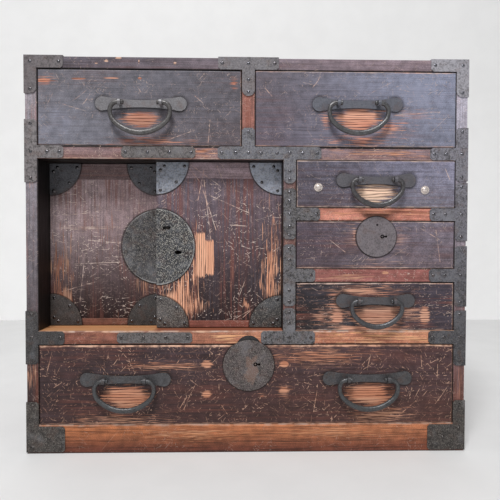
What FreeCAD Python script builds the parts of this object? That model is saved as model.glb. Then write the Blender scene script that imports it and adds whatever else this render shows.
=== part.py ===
"""Small tansu chest: six drawers and a pair of sliding doors in a jointed, iron-bound wooden case.

Millimetres. +X is the viewer's right, +Y runs from the front to the back, +Z is up.
The origin is on the floor, under the middle of the case.
"""
import FreeCAD, Part
import os
from collections import namedtuple
from math import cos, pi, sin, sqrt

Vector = FreeCAD.Vector

# ---------------------------------------------------------------- driving dimensions
# Case boards
CASE_WIDTH = 483.0
CASE_DEPTH = 303.0
SIDE_THICKNESS = 13.0
TOP_THICKNESS = 13.0
BOTTOM_THICKNESS = 12.0
BASE_RAIL_THICKNESS = 15.0
BACK_THICKNESS = 8.0
BACK_LAP = 6.0                  # how far the back boards lap onto the sides and the top
BACK_BOARD_COUNT = 3
DADO_DEPTH = 4.0                # how deep shelves, dividers and the base rail are housed
CORNER_FINGERS = 5              # fingers along each corner of the case
RUNNER_WIDTH = 22.0             # the strips that the wide drawer slides on

# Front of the case, from the floor up
BASE_RAIL_HEIGHT = 32.0
WIDE_BAY_HEIGHT = 88.0
LOWER_SHELF_THICKNESS = 15.0
SMALL_LOWER_BAY_HEIGHT = 53.8
SMALL_SHELF_LOWER_THICKNESS = 15.0
SMALL_MIDDLE_BAY_HEIGHT = 52.7
SMALL_SHELF_UPPER_THICKNESS = 14.5
SMALL_UPPER_BAY_HEIGHT = 52.2
UPPER_SHELF_THICKNESS = 14.1
TOP_BAY_HEIGHT = 82.7

# Front of the case, from the left side inwards
TOP_LEFT_BAY_WIDTH = 221.0
TOP_DIVIDER_THICKNESS = 14.8
COMPARTMENT_WIDTH = 266.7       # the space behind the sliding doors
MIDDLE_DIVIDER_THICKNESS = 14.5

# Drawers
DRAWER_FRONT_THICKNESS = 14.0
DRAWER_SIDE_THICKNESS = 8.0
DRAWER_BACK_THICKNESS = 8.0
DRAWER_BOTTOM_THICKNESS = 6.0
DRAWER_FRONT_REBATE = 9.0       # how far the sides and the bottom are let into the front
DRAWER_SIDE_GAP = 0.5
DRAWER_TOP_GAP = 0.8
DRAWER_RUN_GAP = 0.3            # between a drawer and what it slides on
DRAWER_WALL_DROP = 4.0          # side walls stop this far below the front's top edge
DRAWER_BACK_GAP = 8.0           # air behind a shut drawer
DRAWER_ARRIS = 0.8              # worn edge of a drawer front
PROUD_TOP_LEFT = 0.0            # how far each shut front stands out of the case
PROUD_TOP_RIGHT = 1.2
PROUD_SMALL_UPPER = 1.2
PROUD_SMALL_MIDDLE = 0.5
PROUD_SMALL_LOWER = 0.3
PROUD_WIDE = 0.5

# Sliding doors
DOOR_LAP = 15.9                 # how far the front door laps over the rear door
DOOR_THICKNESS = 14.0
DOOR_RECESS = 18.0              # from the case front to the front door's face
DOOR_GAP = 2.5                  # between the two doors
DOOR_SIDE_GAP = 0.3
DOOR_FACE_GAP = 0.8             # above and below a door, outside the grooves
DOOR_TOP_END_WIDTH = 18.0       # visible width of the cross-grained board at the top
DOOR_BOTTOM_END_WIDTH = 8.0
DOOR_END_TONGUE = 5.0           # tongue of the upright board in each end board
DOOR_END_TONGUE_THICKNESS = 5.0
GUIDE_THICKNESS = 7.0           # tongue of a door in its groove
GUIDE_CLEARANCE = 0.3
SILL_GROOVE_DEPTH = 3.3
HEAD_GROOVE_DEPTH = 7.0         # deep enough to lift a door out
HEAD_GUIDE_HEIGHT = 4.4

# Irons
IRON_THICKNESS = 1.0
IRON_INSET = 0.5                # bare wood between an iron and the edge of what it covers
IRON_CORNER_CUT = 2.5           # corners snipped off with shears
IRON_ROUND = 6.0                # rounded tip of a stem or a corner leg
IRON_WRAP_DEPTH = 14.0          # leaf bent round onto the side or the top
IRON_ARM_REACH = 41.0           # from the outside of the case to the end of an arm
CORNER_LEG_TOP = 40.0           # leg of a top corner iron, down from the top
CORNER_LEG_BOTTOM = 57.0        # leg of a bottom corner iron, up from the floor
BOTTOM_ARM_TOP = 30.0           # top of a bottom corner iron's arm, above the floor
FOOT_CLEARANCE = 1.5            # bottom corner irons stop short of the floor
TOP_STRAP_LENGTH = 66.0
TOP_STRAP_DROP = 41.0
STRAP_HEIGHT = 12.0
STRAP_NAILS = 4
UPPER_STRAP_SPAN = (90.3, 170.5)        # ends of the rail straps, from the left side's inside
LOWER_STRAP_SPAN = (85.0, 167.2)
JUNCTION_LEFT = 26.0            # junction strap's bar, left of the top divider
JUNCTION_RIGHT = 27.3           # and right of the middle divider
JUNCTION_UP = 20.2              # stem up the top divider
JUNCTION_DOWN = 26.0            # stem down the middle divider
JUNCTION_NAIL_STEP = 14.0       # from a stem's nail to the next ones on the bar
DIVIDER_ARM_REACH = (26.3, 21.3, 21.3)  # divider straps' arms past the divider, top to bottom
DIVIDER_BAR_REACH = 23.8        # lowest divider strap's bar, left of the divider
LEFT_TEE_LEGS = ((34.8, 33.2), (29.6, 28.8))        # up and down from the shelf, top to bottom
RIGHT_TEE_LEGS = ((29.0, 29.8), (35.0, 29.3), (32.6, 34.5), (29.9, 31.6))
DIVIDER_LEGS = ((28.0, 27.7), (34.1, 33.7), (32.4, 0.0))

# Nails and studs
NAIL_RADIUS = 1.6
NAIL_TOP_RADIUS = 0.8
NAIL_HEIGHT = 0.8
NAIL_SIDES = 4
NAIL_INSET = 4.5                # from the end of an iron to its last nail
STUD_RADIUS = 4.6
STUD_FLANGE = 1.0
STUD_DOME_RADIUS = 3.4
STUD_DOME_HEIGHT = 2.4
STUD_FACETS = 4                 # hammered facets from a dome's edge to its tip
STUD_PLACES = ((-63.9, 22.0), (53.9, 19.6))     # from the middle of the bay's floor

# Door irons and locks
DOOR_IRON_RADIUS = 36.0
HALF_PLATE_RADIUS = 43.0
HALF_PLATE_RISE = 92.0          # from the sill to the centre of the two half plates
DOOR_SLOT_DX = 11.5             # slot of the door bolt, from the front door's free edge
DOOR_SLOT_DZ = 21.5
DOOR_KEY_DX = 23.0
DOOR_KEY_DZ = -6.0
DOOR_BOLT_WIDTH = 6.0
DOOR_BOLT_HEIGHT = 2.4
DOOR_LOCK_CASE_DEPTH = 6.0
DOOR_LOCK_CASE_X = (3.0, 33.0)  # from the front door's free edge
DOOR_LOCK_CASE_DZ = (-16.0, 30.0)
KEEPER_MARGIN = 3.5             # keeper and strike leaves, past their mortises
KEEPER_SIDE_MARGIN = 1.2        # less beside the door bolt, for the rear door's edge is close
KEEPER_DEPTH = 7.0
SMALL_LOCK_PLACE = (0.6, -17.4)         # from the middle of the top of its bay
SMALL_LOCK_RADIUS = 22.0
SMALL_PIN_HOLE = (0.8, 13.0)    # small hole in the plate, from its middle
PIN_HOLE_RADIUS = 0.8
SMALL_KEY_DX = 6.6
SMALL_KEY_DZ = 0.2
WIDE_LOCK_PLACE = (0.9, -23.0)
WIDE_LOCK_RADIUS = 28.0
WIDE_KEY_DX = 7.4
WIDE_KEY_DZ = 1.1
LOCK_PLATE_THICKNESS = 1.2
KEYHOLE_RADIUS = 2.2
KEYHOLE_END_RADIUS = 1.2
KEYHOLE_LENGTH = 4.2            # from the round hole to the small end of the keyhole
KEY_PIN_RADIUS = 0.9
LOCK_CASE_WIDTH = 34.0
LOCK_CASE_HEIGHT = 26.0
LOCK_CASE_DEPTH = 6.2
LOCK_CASE_WALL = 1.2
LOCK_CASE_TOP_DROP = 6.0        # from the front's top edge to the lock case
BOLT_WIDTH = 10.0
BOLT_THICKNESS = 3.0
BOLT_TRAVEL = 6.0
BOLT_CLEARANCE = 0.3
BOLT_NOTCH = 3.0                # bite that the key turns in
STRIKE_DEPTH = 1.0
SMALL_STRIKE_WIDTH = 29.0
SMALL_STRIKE_HEIGHT = 5.6
WIDE_STRIKE_WIDTH = 26.8
WIDE_STRIKE_HEIGHT = 9.8

# Pulls
PLATE_THICKNESS = 1.0
PLATE_DISC_RADIUS = 7.6
PLATE_WAIST_HALF = 3.9          # half height of a plate at its middle
BAIL_STANDOFF = 7.5             # from the drawer's face to the bail's axis
BAIL_END_RADIUS = 1.9
BAIL_SHOULDER_HALF = 2.3        # half the bar's height where it steps down to a journal
BAIL_SIDE_RADIUS = 2.4
BAIL_FOOT_RADIUS = 3.1
BAIL_KNOB_RADIUS = 2.6
BAIL_KNOB_LENGTH = 3.0
BAIL_SIDE_RUN = 1.5             # straight run below the shoulder
EYE_FIT = 0.1                   # radial play of a journal in its eye
EYE_CLEARANCE = 0.3             # play along the bail, at each side of an eye
EYE_WIDTH = 3.2
EYE_STRAP = 1.5
CLINCH_LENGTH = 8.0             # each tail, bent flat inside the drawer

# A pull's own sizes: plate length, spacing of its eyes, bail width and drop, width of the side bend
PullSize = namedtuple("PullSize", "plate spacing width drop side_bend")
LARGE_PULL = PullSize(99.0, 44.0, 68.8, 35.4, 18.0)
SMALL_PULL = PullSize(87.5, 39.4, 59.8, 30.8, 15.5)
# Middle of each pull, from the middle of its bay's floor
TOP_LEFT_PULL = (1.4, 45.3)
TOP_RIGHT_PULL = (1.4, 46.1)
SMALL_UPPER_PULL = (-0.2, 30.0)
SMALL_LOWER_PULL = (0.3, 33.2)
WIDE_LEFT_PULL = (-134.3, 49.6)
WIDE_RIGHT_PULL = (132.5, 50.2)

# ---------------------------------------------------------------- derived places
OUT = CASE_WIDTH / 2            # outside of a side board
IN = OUT - SIDE_THICKNESS       # inside of a side board
FRONT = -CASE_DEPTH / 2
BACK = CASE_DEPTH / 2
BACK_IN = BACK - BACK_THICKNESS

WIDE_Z = BASE_RAIL_HEIGHT
LOWER_SHELF_Z = WIDE_Z + WIDE_BAY_HEIGHT
DOOR_SILL_Z = LOWER_SHELF_Z + LOWER_SHELF_THICKNESS
SMALL_SHELF_LOWER_Z = DOOR_SILL_Z + SMALL_LOWER_BAY_HEIGHT
SMALL_MIDDLE_Z = SMALL_SHELF_LOWER_Z + SMALL_SHELF_LOWER_THICKNESS
SMALL_SHELF_UPPER_Z = SMALL_MIDDLE_Z + SMALL_MIDDLE_BAY_HEIGHT
SMALL_UPPER_Z = SMALL_SHELF_UPPER_Z + SMALL_SHELF_UPPER_THICKNESS
UPPER_SHELF_Z = SMALL_UPPER_Z + SMALL_UPPER_BAY_HEIGHT
TOP_BAY_Z = UPPER_SHELF_Z + UPPER_SHELF_THICKNESS
TOP_UNDER = TOP_BAY_Z + TOP_BAY_HEIGHT
CASE_HEIGHT = TOP_UNDER + TOP_THICKNESS

TOP_DIVIDER_X = (-IN + TOP_LEFT_BAY_WIDTH, -IN + TOP_LEFT_BAY_WIDTH + TOP_DIVIDER_THICKNESS)
MIDDLE_DIVIDER_X = (-IN + COMPARTMENT_WIDTH, -IN + COMPARTMENT_WIDTH + MIDDLE_DIVIDER_THICKNESS)
UPPER_SHELF_MID = UPPER_SHELF_Z + UPPER_SHELF_THICKNESS / 2
LOWER_SHELF_MID = LOWER_SHELF_Z + LOWER_SHELF_THICKNESS / 2
SMALL_SHELF_UPPER_MID = SMALL_SHELF_UPPER_Z + SMALL_SHELF_UPPER_THICKNESS / 2
SMALL_SHELF_LOWER_MID = SMALL_SHELF_LOWER_Z + SMALL_SHELF_LOWER_THICKNESS / 2

HALF_PLATE_Z = DOOR_SILL_Z + HALF_PLATE_RISE
FRONT_DOOR_Y = FRONT + DOOR_RECESS
REAR_DOOR_Y = FRONT_DOOR_Y + DOOR_THICKNESS + DOOR_GAP
DOOR_WIDTH = (COMPARTMENT_WIDTH - 2 * DOOR_SIDE_GAP + DOOR_LAP) / 2
FRONT_DOOR_X = MIDDLE_DIVIDER_X[0] - DOOR_SIDE_GAP - DOOR_WIDTH
REAR_DOOR_X = -IN + DOOR_SIDE_GAP
DOOR_Z = (DOOR_SILL_Z + DOOR_FACE_GAP, UPPER_SHELF_Z - DOOR_FACE_GAP)

Bay = namedtuple("Bay", "name x0 x1 z0 z1 proud")
BAYS = (
    Bay("top_left", -IN, TOP_DIVIDER_X[0], TOP_BAY_Z, TOP_UNDER, PROUD_TOP_LEFT),
    Bay("top_right", TOP_DIVIDER_X[1], IN, TOP_BAY_Z, TOP_UNDER, PROUD_TOP_RIGHT),
    Bay("small_upper", MIDDLE_DIVIDER_X[1], IN, SMALL_UPPER_Z, UPPER_SHELF_Z, PROUD_SMALL_UPPER),
    Bay("small_middle", MIDDLE_DIVIDER_X[1], IN, SMALL_MIDDLE_Z, SMALL_SHELF_UPPER_Z,
        PROUD_SMALL_MIDDLE),
    Bay("small_lower", MIDDLE_DIVIDER_X[1], IN, DOOR_SILL_Z, SMALL_SHELF_LOWER_Z,
        PROUD_SMALL_LOWER),
    Bay("wide", -IN, IN, WIDE_Z, LOWER_SHELF_Z, PROUD_WIDE),
)
BAY = {bay.name: bay for bay in BAYS}


def in_bay(name, place, level="z0"):
    """An (x, z) place given from the middle of a bay's floor, or of its top for level z1."""
    bay = BAY[name]
    return (bay.x0 + bay.x1) / 2 + place[0], getattr(bay, level) + place[1]


Pull = namedtuple("Pull", "name drawer size x z")
PULLS = (
    Pull("top_left", "top_left", LARGE_PULL, *in_bay("top_left", TOP_LEFT_PULL)),
    Pull("top_right", "top_right", LARGE_PULL, *in_bay("top_right", TOP_RIGHT_PULL)),
    Pull("small_upper", "small_upper", SMALL_PULL, *in_bay("small_upper", SMALL_UPPER_PULL)),
    Pull("small_lower", "small_lower", SMALL_PULL, *in_bay("small_lower", SMALL_LOWER_PULL)),
    Pull("wide_left", "wide", LARGE_PULL, *in_bay("wide", WIDE_LEFT_PULL)),
    Pull("wide_right", "wide", LARGE_PULL, *in_bay("wide", WIDE_RIGHT_PULL)),
)

Lock = namedtuple("Lock", "drawer x z radius key_dx key_dz strike_width strike_height pin_hole")
LOCKS = {
    "small_middle": Lock("small_middle", *in_bay("small_middle", SMALL_LOCK_PLACE, "z1"),
                         SMALL_LOCK_RADIUS, SMALL_KEY_DX, SMALL_KEY_DZ, SMALL_STRIKE_WIDTH,
                         SMALL_STRIKE_HEIGHT, SMALL_PIN_HOLE),
    "wide": Lock("wide", *in_bay("wide", WIDE_LOCK_PLACE, "z1"), WIDE_LOCK_RADIUS, WIDE_KEY_DX,
                 WIDE_KEY_DZ, WIDE_STRIKE_WIDTH, WIDE_STRIKE_HEIGHT, None),
}


# ---------------------------------------------------------------- shared shapes
def block(x0, x1, y0, y1, z0, z1):
    """Box between two corners, given in either order."""
    low = Vector(min(x0, x1), min(y0, y1), min(z0, z1))
    return Part.makeBox(abs(x1 - x0), abs(y1 - y0), abs(z1 - z0), low)


def rod(x, y, z, radius, length, direction):
    """Cylinder of a length from a point, along a direction."""
    return Part.makeCylinder(radius, length, Vector(x, y, z), direction)


def group(solids):
    """Separate solids of one node."""
    return Part.makeCompound(solids)


def outline_wire(corners, y):
    """Closed outline at depth y through (x, z, cut) corners.

    A cut above 0 snips the corner off, one below 0 rounds it with that radius, and 0 keeps it.
    """
    points = [Vector(x, y, z) for x, z, _ in corners]
    count = len(points)
    edges = []
    ends = []
    for i, (_, _, cut) in enumerate(corners):
        to_last = (points[i - 1] - points[i]).normalize() * abs(cut)
        to_next = (points[(i + 1) % count] - points[i]).normalize() * abs(cut)
        start, end = points[i] + to_last, points[i] + to_next
        ends.append((start, end))
        if cut > 0:
            edges.append(Part.LineSegment(start, end).toShape())
        elif cut < 0:
            middle = points[i] + (to_last + to_next) * (1 - sqrt(0.5))
            edges.append(Part.Arc(start, middle, end).toShape())
    for i in range(count):
        if ends[i - 1][1].distanceToPoint(ends[i][0]) > 1e-6:
            edges.append(Part.LineSegment(ends[i - 1][1], ends[i][0]).toShape())
    return Part.Wire(Part.__sortEdges__(edges))


def sheet(corners, y_back, thickness):
    """Plate with an outline_wire edge, standing a thickness forward of y_back."""
    face = Part.Face(outline_wire(corners, y_back))
    return face.extrude(Vector(0, -thickness, 0))


def mirrored(shape, sign):
    """The shape as drawn for the right side, or its mirror image for the left."""
    if sign > 0:
        return shape
    return shape.mirror(Vector(0, 0, 0), Vector(1, 0, 0))


def fused(first, *others):
    """One solid from solids that touch, with no seams left on flat faces."""
    return first.fuse(list(others)).removeSplitter()


# ---------------------------------------------------------------- case boards
def back_recess():
    """The space that the back boards fill."""
    return block(-IN - BACK_LAP, IN + BACK_LAP, BACK_IN, BACK, 0, TOP_UNDER + BACK_LAP)


def fingers(sign, z0, z1, y0, y1, first):
    """Every other finger block of a corner joint, starting with the finger numbered first."""
    step = (y1 - y0) / CORNER_FINGERS
    return [block(sign * IN, sign * OUT, y0 + i * step, y0 + (i + 1) * step, z0, z1)
            for i in range(first, CORNER_FINGERS, 2)]


def top_fingers(sign, first):
    """Fingers between the top board and a side."""
    return fingers(sign, TOP_UNDER, CASE_HEIGHT, FRONT, BACK, first)


def bottom_fingers(sign, first):
    """Fingers between the bottom board and a side."""
    return fingers(sign, 0, BOTTOM_THICKNESS, FRONT + BASE_RAIL_THICKNESS, BACK_IN, first)


def shelf_blank(x0, x1, z0, thickness):
    """Full-depth board between two housings."""
    return block(x0, x1, FRONT, BACK_IN, z0, z0 + thickness)


def full_shelf(z0, thickness):
    """Shelf housed in both side boards."""
    return shelf_blank(-IN - DADO_DEPTH, IN + DADO_DEPTH, z0, thickness)


def small_shelf(z0, thickness):
    """Shelf housed in the middle divider and the right side board."""
    return shelf_blank(MIDDLE_DIVIDER_X[1] - DADO_DEPTH, IN + DADO_DEPTH, z0, thickness)


def base_rail_blank():
    """Base rail with its housed ends."""
    return block(-IN - DADO_DEPTH, IN + DADO_DEPTH, FRONT, FRONT + BASE_RAIL_THICKNESS,
                 0, BASE_RAIL_HEIGHT)


def top_divider_blank():
    """Upright board between the two top drawers."""
    return block(*TOP_DIVIDER_X, FRONT, BACK_IN, TOP_BAY_Z - DADO_DEPTH, TOP_UNDER + DADO_DEPTH)


def middle_divider_blank():
    """Upright board between the doors and the small drawers."""
    return block(*MIDDLE_DIVIDER_X, FRONT, BACK_IN, DOOR_SILL_Z - DADO_DEPTH,
                 UPPER_SHELF_Z + DADO_DEPTH)


def side_board(sign):
    """Side board, with finger notches, housings for the shelves and a recess for the back."""
    board = block(sign * IN, sign * OUT, FRONT, BACK, 0, CASE_HEIGHT)
    housed = [full_shelf(UPPER_SHELF_Z, UPPER_SHELF_THICKNESS),
              full_shelf(LOWER_SHELF_Z, LOWER_SHELF_THICKNESS),
              base_rail_blank()]
    if sign > 0:
        housed.append(small_shelf(SMALL_SHELF_UPPER_Z, SMALL_SHELF_UPPER_THICKNESS))
        housed.append(small_shelf(SMALL_SHELF_LOWER_Z, SMALL_SHELF_LOWER_THICKNESS))
    return board.cut(housed + top_fingers(sign, 0) + bottom_fingers(sign, 1) + [back_recess()])


def top_board():
    """Top board, finger-jointed to both sides."""
    board = block(-OUT, OUT, FRONT, BACK, TOP_UNDER, CASE_HEIGHT)
    return board.cut(top_fingers(1, 1) + top_fingers(-1, 1) + [back_recess(), top_divider_blank()])


def bottom_board():
    """Bottom board, flat on the floor and finger-jointed to both sides."""
    board = block(-OUT, OUT, FRONT + BASE_RAIL_THICKNESS, BACK_IN, 0, BOTTOM_THICKNESS)
    return board.cut(bottom_fingers(1, 0) + bottom_fingers(-1, 0))


def back_boards():
    """Upright boards, edge to edge, in the recess at the back."""
    box = back_recess().BoundBox
    step = box.XLength / BACK_BOARD_COUNT
    return group([block(box.XMin + i * step, box.XMin + (i + 1) * step,
                        BACK_IN, BACK, 0, box.ZMax) for i in range(BACK_BOARD_COUNT)])


def drawer_runners():
    """Strips on the bottom board that carry the wide drawer, one along each side."""
    return group([block(sign * IN, sign * (IN - RUNNER_WIDTH), FRONT + BASE_RAIL_THICKNESS,
                        BACK_IN, BOTTOM_THICKNESS, WIDE_Z) for sign in (-1, 1)])


def door_grooves(z_edge, depth):
    """The two grooves that the doors slide in, cut up or down from a shelf's face."""
    side = (DOOR_THICKNESS - GUIDE_THICKNESS) / 2 - GUIDE_CLEARANCE
    width = GUIDE_THICKNESS + 2 * GUIDE_CLEARANCE
    return [block(-IN, MIDDLE_DIVIDER_X[0], y + side, y + side + width, z_edge, z_edge + depth)
            for y in (FRONT_DOOR_Y, REAR_DOOR_Y)]


def shelf_upper():
    """Shelf under the top drawers; the doors' heads run in its underside."""
    shelf = full_shelf(UPPER_SHELF_Z, UPPER_SHELF_THICKNESS)
    return shelf.cut(door_grooves(UPPER_SHELF_Z, HEAD_GROOVE_DEPTH)
                     + [top_divider_blank(), middle_divider_blank()])


def shelf_lower():
    """Shelf over the wide drawer; it is the doors' sill and takes the wide drawer's bolt."""
    shelf = full_shelf(LOWER_SHELF_Z, LOWER_SHELF_THICKNESS)
    return shelf.cut(door_grooves(DOOR_SILL_Z, -SILL_GROOVE_DEPTH)
                     + [middle_divider_blank(), strike_solid(LOCKS["wide"]),
                        bolt_mortise(LOCKS["wide"])])


def small_shelf_upper():
    """Shelf over the locked small drawer, with the mortise for its bolt."""
    shelf = small_shelf(SMALL_SHELF_UPPER_Z, SMALL_SHELF_UPPER_THICKNESS)
    lock = LOCKS["small_middle"]
    return shelf.cut([strike_solid(lock), bolt_mortise(lock)])


def middle_divider():
    """Middle divider, housed top and bottom and housing the small shelves."""
    return middle_divider_blank().cut(
        [small_shelf(SMALL_SHELF_UPPER_Z, SMALL_SHELF_UPPER_THICKNESS),
         small_shelf(SMALL_SHELF_LOWER_Z, SMALL_SHELF_LOWER_THICKNESS)])


# ---------------------------------------------------------------- nails
def nail_head(place, direction):
    """Forged nail head: a low faceted button standing on a face."""
    axis = Vector(*direction)
    across = Vector(0, 0, 1) if abs(axis.z) < 0.5 else Vector(1, 0, 0)
    along = axis.cross(across)
    base = Vector(*place)
    turns = [2 * pi * i / NAIL_SIDES for i in range(NAIL_SIDES)]

    def ring(radius, height):
        return [base + axis * height + across * (radius * cos(turn)) + along * (radius * sin(turn))
                for turn in turns]

    foot = ring(NAIL_RADIUS, 0)
    top = ring(NAIL_TOP_RADIUS, NAIL_HEIGHT)
    sides = [(foot[i - 1], foot[i], top[i], top[i - 1]) for i in range(NAIL_SIDES)]
    faces = [Part.Face(Part.makePolygon(list(corners) + [corners[0]]))
             for corners in [foot, top] + sides]
    return Part.Solid(Part.Shell(faces))


def front_nails(points, y_face):
    """Nail heads on a face that looks forward, at (x, z) points."""
    return [nail_head((x, y_face, z), (0, -1, 0)) for x, z in points]


# ---------------------------------------------------------------- irons of the case
IRON_FACE = FRONT - IRON_THICKNESS
IRON_OUT = OUT + IRON_THICKNESS
LEG_IN = IN + IRON_INSET
ARM_END = OUT - IRON_ARM_REACH


def side_leaf(z0, z1):
    """Leaf of an iron on the side board."""
    return block(OUT, IRON_OUT, IRON_FACE, FRONT + IRON_WRAP_DEPTH, z0, z1)


def top_leaf(x0, x1):
    """Leaf of an iron on the top board."""
    return block(x0, x1, IRON_FACE, FRONT + IRON_WRAP_DEPTH, CASE_HEIGHT,
                 CASE_HEIGHT + IRON_THICKNESS)


def leaf_nails(sign, z0, z1):
    """Two nails in a side leaf, near its ends."""
    y = FRONT + IRON_WRAP_DEPTH - NAIL_INSET
    return [nail_head((sign * IRON_OUT, y, z), (sign, 0, 0))
            for z in (z0 + NAIL_INSET, z1 - NAIL_INSET)]


def top_leaf_nails(xs):
    """Nails in a top leaf, at the given places along it."""
    y = FRONT + IRON_WRAP_DEPTH - NAIL_INSET
    return [nail_head((x, y, CASE_HEIGHT + IRON_THICKNESS), (0, 0, 1)) for x in xs]


def tee_iron(sign, mid, thickness, up, down):
    """T iron: a leg on the side board's edge, an arm on a shelf's edge, and a leaf on the side."""
    half = thickness / 2 - IRON_INSET / 2
    top = mid + up
    low = mid - down
    cut = IRON_CORNER_CUT
    outline = [(IRON_OUT, top, 0), (IRON_OUT, low, 0), (LEG_IN, low, cut),
               (LEG_IN, mid - half, 0), (ARM_END, mid - half, cut),
               (ARM_END, mid + half, cut), (LEG_IN, mid + half, 0), (LEG_IN, top, cut)]
    shape = fused(sheet(outline, FRONT, IRON_THICKNESS), side_leaf(low, top))
    leg = (IRON_OUT + LEG_IN) / 2
    points = [(leg, top - NAIL_INSET), (leg, mid), (leg, low + NAIL_INSET),
              ((leg + ARM_END) / 2, mid), (ARM_END + NAIL_INSET, mid)]
    nails = front_nails([(sign * x, z) for x, z in points], IRON_FACE)
    return mirrored(shape, sign), nails + leaf_nails(sign, low, top)


def top_corner_iron(sign):
    """Corner iron at the top: an L on the front with leaves on the side and the top."""
    top = CASE_HEIGHT + IRON_THICKNESS
    arm_low = TOP_UNDER + IRON_INSET
    leg_low = CASE_HEIGHT - CORNER_LEG_TOP
    outline = [(IRON_OUT, top, 0), (IRON_OUT, leg_low, 0), (LEG_IN, leg_low, -IRON_ROUND),
               (LEG_IN, arm_low, 0), (ARM_END, arm_low, IRON_CORNER_CUT), (ARM_END, top, 0)]
    shape = fused(sheet(outline, FRONT, IRON_THICKNESS), side_leaf(leg_low, top),
                  top_leaf(ARM_END, IRON_OUT))
    leg = (IRON_OUT + LEG_IN) / 2
    arm = (top + arm_low) / 2
    points = [(leg, leg_low + NAIL_INSET), (leg, arm), (ARM_END + NAIL_INSET, arm)]
    nails = front_nails([(sign * x, z) for x, z in points], IRON_FACE)
    nails += leaf_nails(sign, leg_low, top - NAIL_INSET)
    nails += top_leaf_nails([sign * (ARM_END + NAIL_INSET), sign * (OUT - NAIL_INSET)])
    return mirrored(shape, sign), nails


def bottom_corner_iron(sign):
    """Corner iron at the foot: a tall L on the front with a leaf on the side."""
    cut = IRON_CORNER_CUT
    low = FOOT_CLEARANCE
    outline = [(IRON_OUT, CORNER_LEG_BOTTOM, 0), (IRON_OUT, low, 0), (ARM_END, low, cut),
               (ARM_END, BOTTOM_ARM_TOP, cut), (LEG_IN, BOTTOM_ARM_TOP, 0),
               (LEG_IN, CORNER_LEG_BOTTOM, cut)]
    shape = fused(sheet(outline, FRONT, IRON_THICKNESS), side_leaf(low, CORNER_LEG_BOTTOM))
    leg = (IRON_OUT + LEG_IN) / 2
    points = [(leg, CORNER_LEG_BOTTOM - NAIL_INSET), (leg, BOTTOM_ARM_TOP - NAIL_INSET),
              (leg, low + NAIL_INSET), (ARM_END + NAIL_INSET, BOTTOM_ARM_TOP - NAIL_INSET),
              (ARM_END + NAIL_INSET, low + NAIL_INSET),
              ((leg + ARM_END) / 2, (low + BOTTOM_ARM_TOP) / 2)]
    nails = front_nails([(sign * x, z) for x, z in points], IRON_FACE)
    return mirrored(shape, sign), nails + leaf_nails(sign, low, CORNER_LEG_BOTTOM)


def top_centre_strap():
    """Strap over the top divider: a bar on the top board's edge with a round-ended stem."""
    middle = sum(TOP_DIVIDER_X) / 2
    half = TOP_STRAP_LENGTH / 2
    stem = TOP_DIVIDER_THICKNESS / 2 - IRON_INSET
    top = CASE_HEIGHT + IRON_THICKNESS
    bar_low = TOP_UNDER + IRON_INSET
    tip = CASE_HEIGHT - TOP_STRAP_DROP
    cut = IRON_CORNER_CUT
    outline = [(middle - half, top, 0), (middle + half, top, 0), (middle + half, bar_low, cut),
               (middle + stem, bar_low, 0), (middle + stem, tip, -stem),
               (middle - stem, tip, -stem), (middle - stem, bar_low, 0),
               (middle - half, bar_low, cut)]
    shape = fused(sheet(outline, FRONT, IRON_THICKNESS), top_leaf(middle - half, middle + half))
    mid_z = (top + bar_low) / 2
    xs = [middle - half + NAIL_INSET, middle, middle + half - NAIL_INSET]
    points = [(x, mid_z) for x in xs] + [(middle, (mid_z + tip) / 2), (middle, tip + NAIL_INSET)]
    return shape, front_nails(points, IRON_FACE) + top_leaf_nails([xs[0], xs[2]])


def junction_strap():
    """Strap on the upper shelf with a stem up the top divider and one down the middle divider."""
    half = UPPER_SHELF_THICKNESS / 2 - IRON_INSET / 2
    top = UPPER_SHELF_MID + half
    low = UPPER_SHELF_MID - half
    up = TOP_BAY_Z + JUNCTION_UP
    down = UPPER_SHELF_Z - JUNCTION_DOWN
    left = TOP_DIVIDER_X[0] - JUNCTION_LEFT
    right = MIDDLE_DIVIDER_X[1] + JUNCTION_RIGHT
    cut = IRON_CORNER_CUT
    up_x = (TOP_DIVIDER_X[0] + IRON_INSET, TOP_DIVIDER_X[1] - IRON_INSET)
    down_x = (MIDDLE_DIVIDER_X[0] + IRON_INSET, MIDDLE_DIVIDER_X[1] - IRON_INSET)
    outline = [(left, low, cut), (left, top, cut), (up_x[0], top, 0), (up_x[0], up, cut),
               (up_x[1], up, cut), (up_x[1], top, 0), (right, top, cut), (right, low, cut),
               (down_x[1], low, 0), (down_x[1], down, -IRON_ROUND),
               (down_x[0], down, -IRON_ROUND), (down_x[0], low, 0)]
    stem_up = sum(up_x) / 2
    stem_down = sum(down_x) / 2
    step = JUNCTION_NAIL_STEP
    bar_xs = [left + NAIL_INSET, stem_up - step, stem_up, stem_up + step, stem_down - step,
              stem_down, stem_down + step, right - NAIL_INSET]
    points = [(x, UPPER_SHELF_MID) for x in bar_xs]
    points += [(stem_up, up - NAIL_INSET), (stem_down, (low + down) / 2),
               (stem_down, down + NAIL_INSET)]
    return sheet(outline, FRONT, IRON_THICKNESS), front_nails(points, IRON_FACE)


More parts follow.
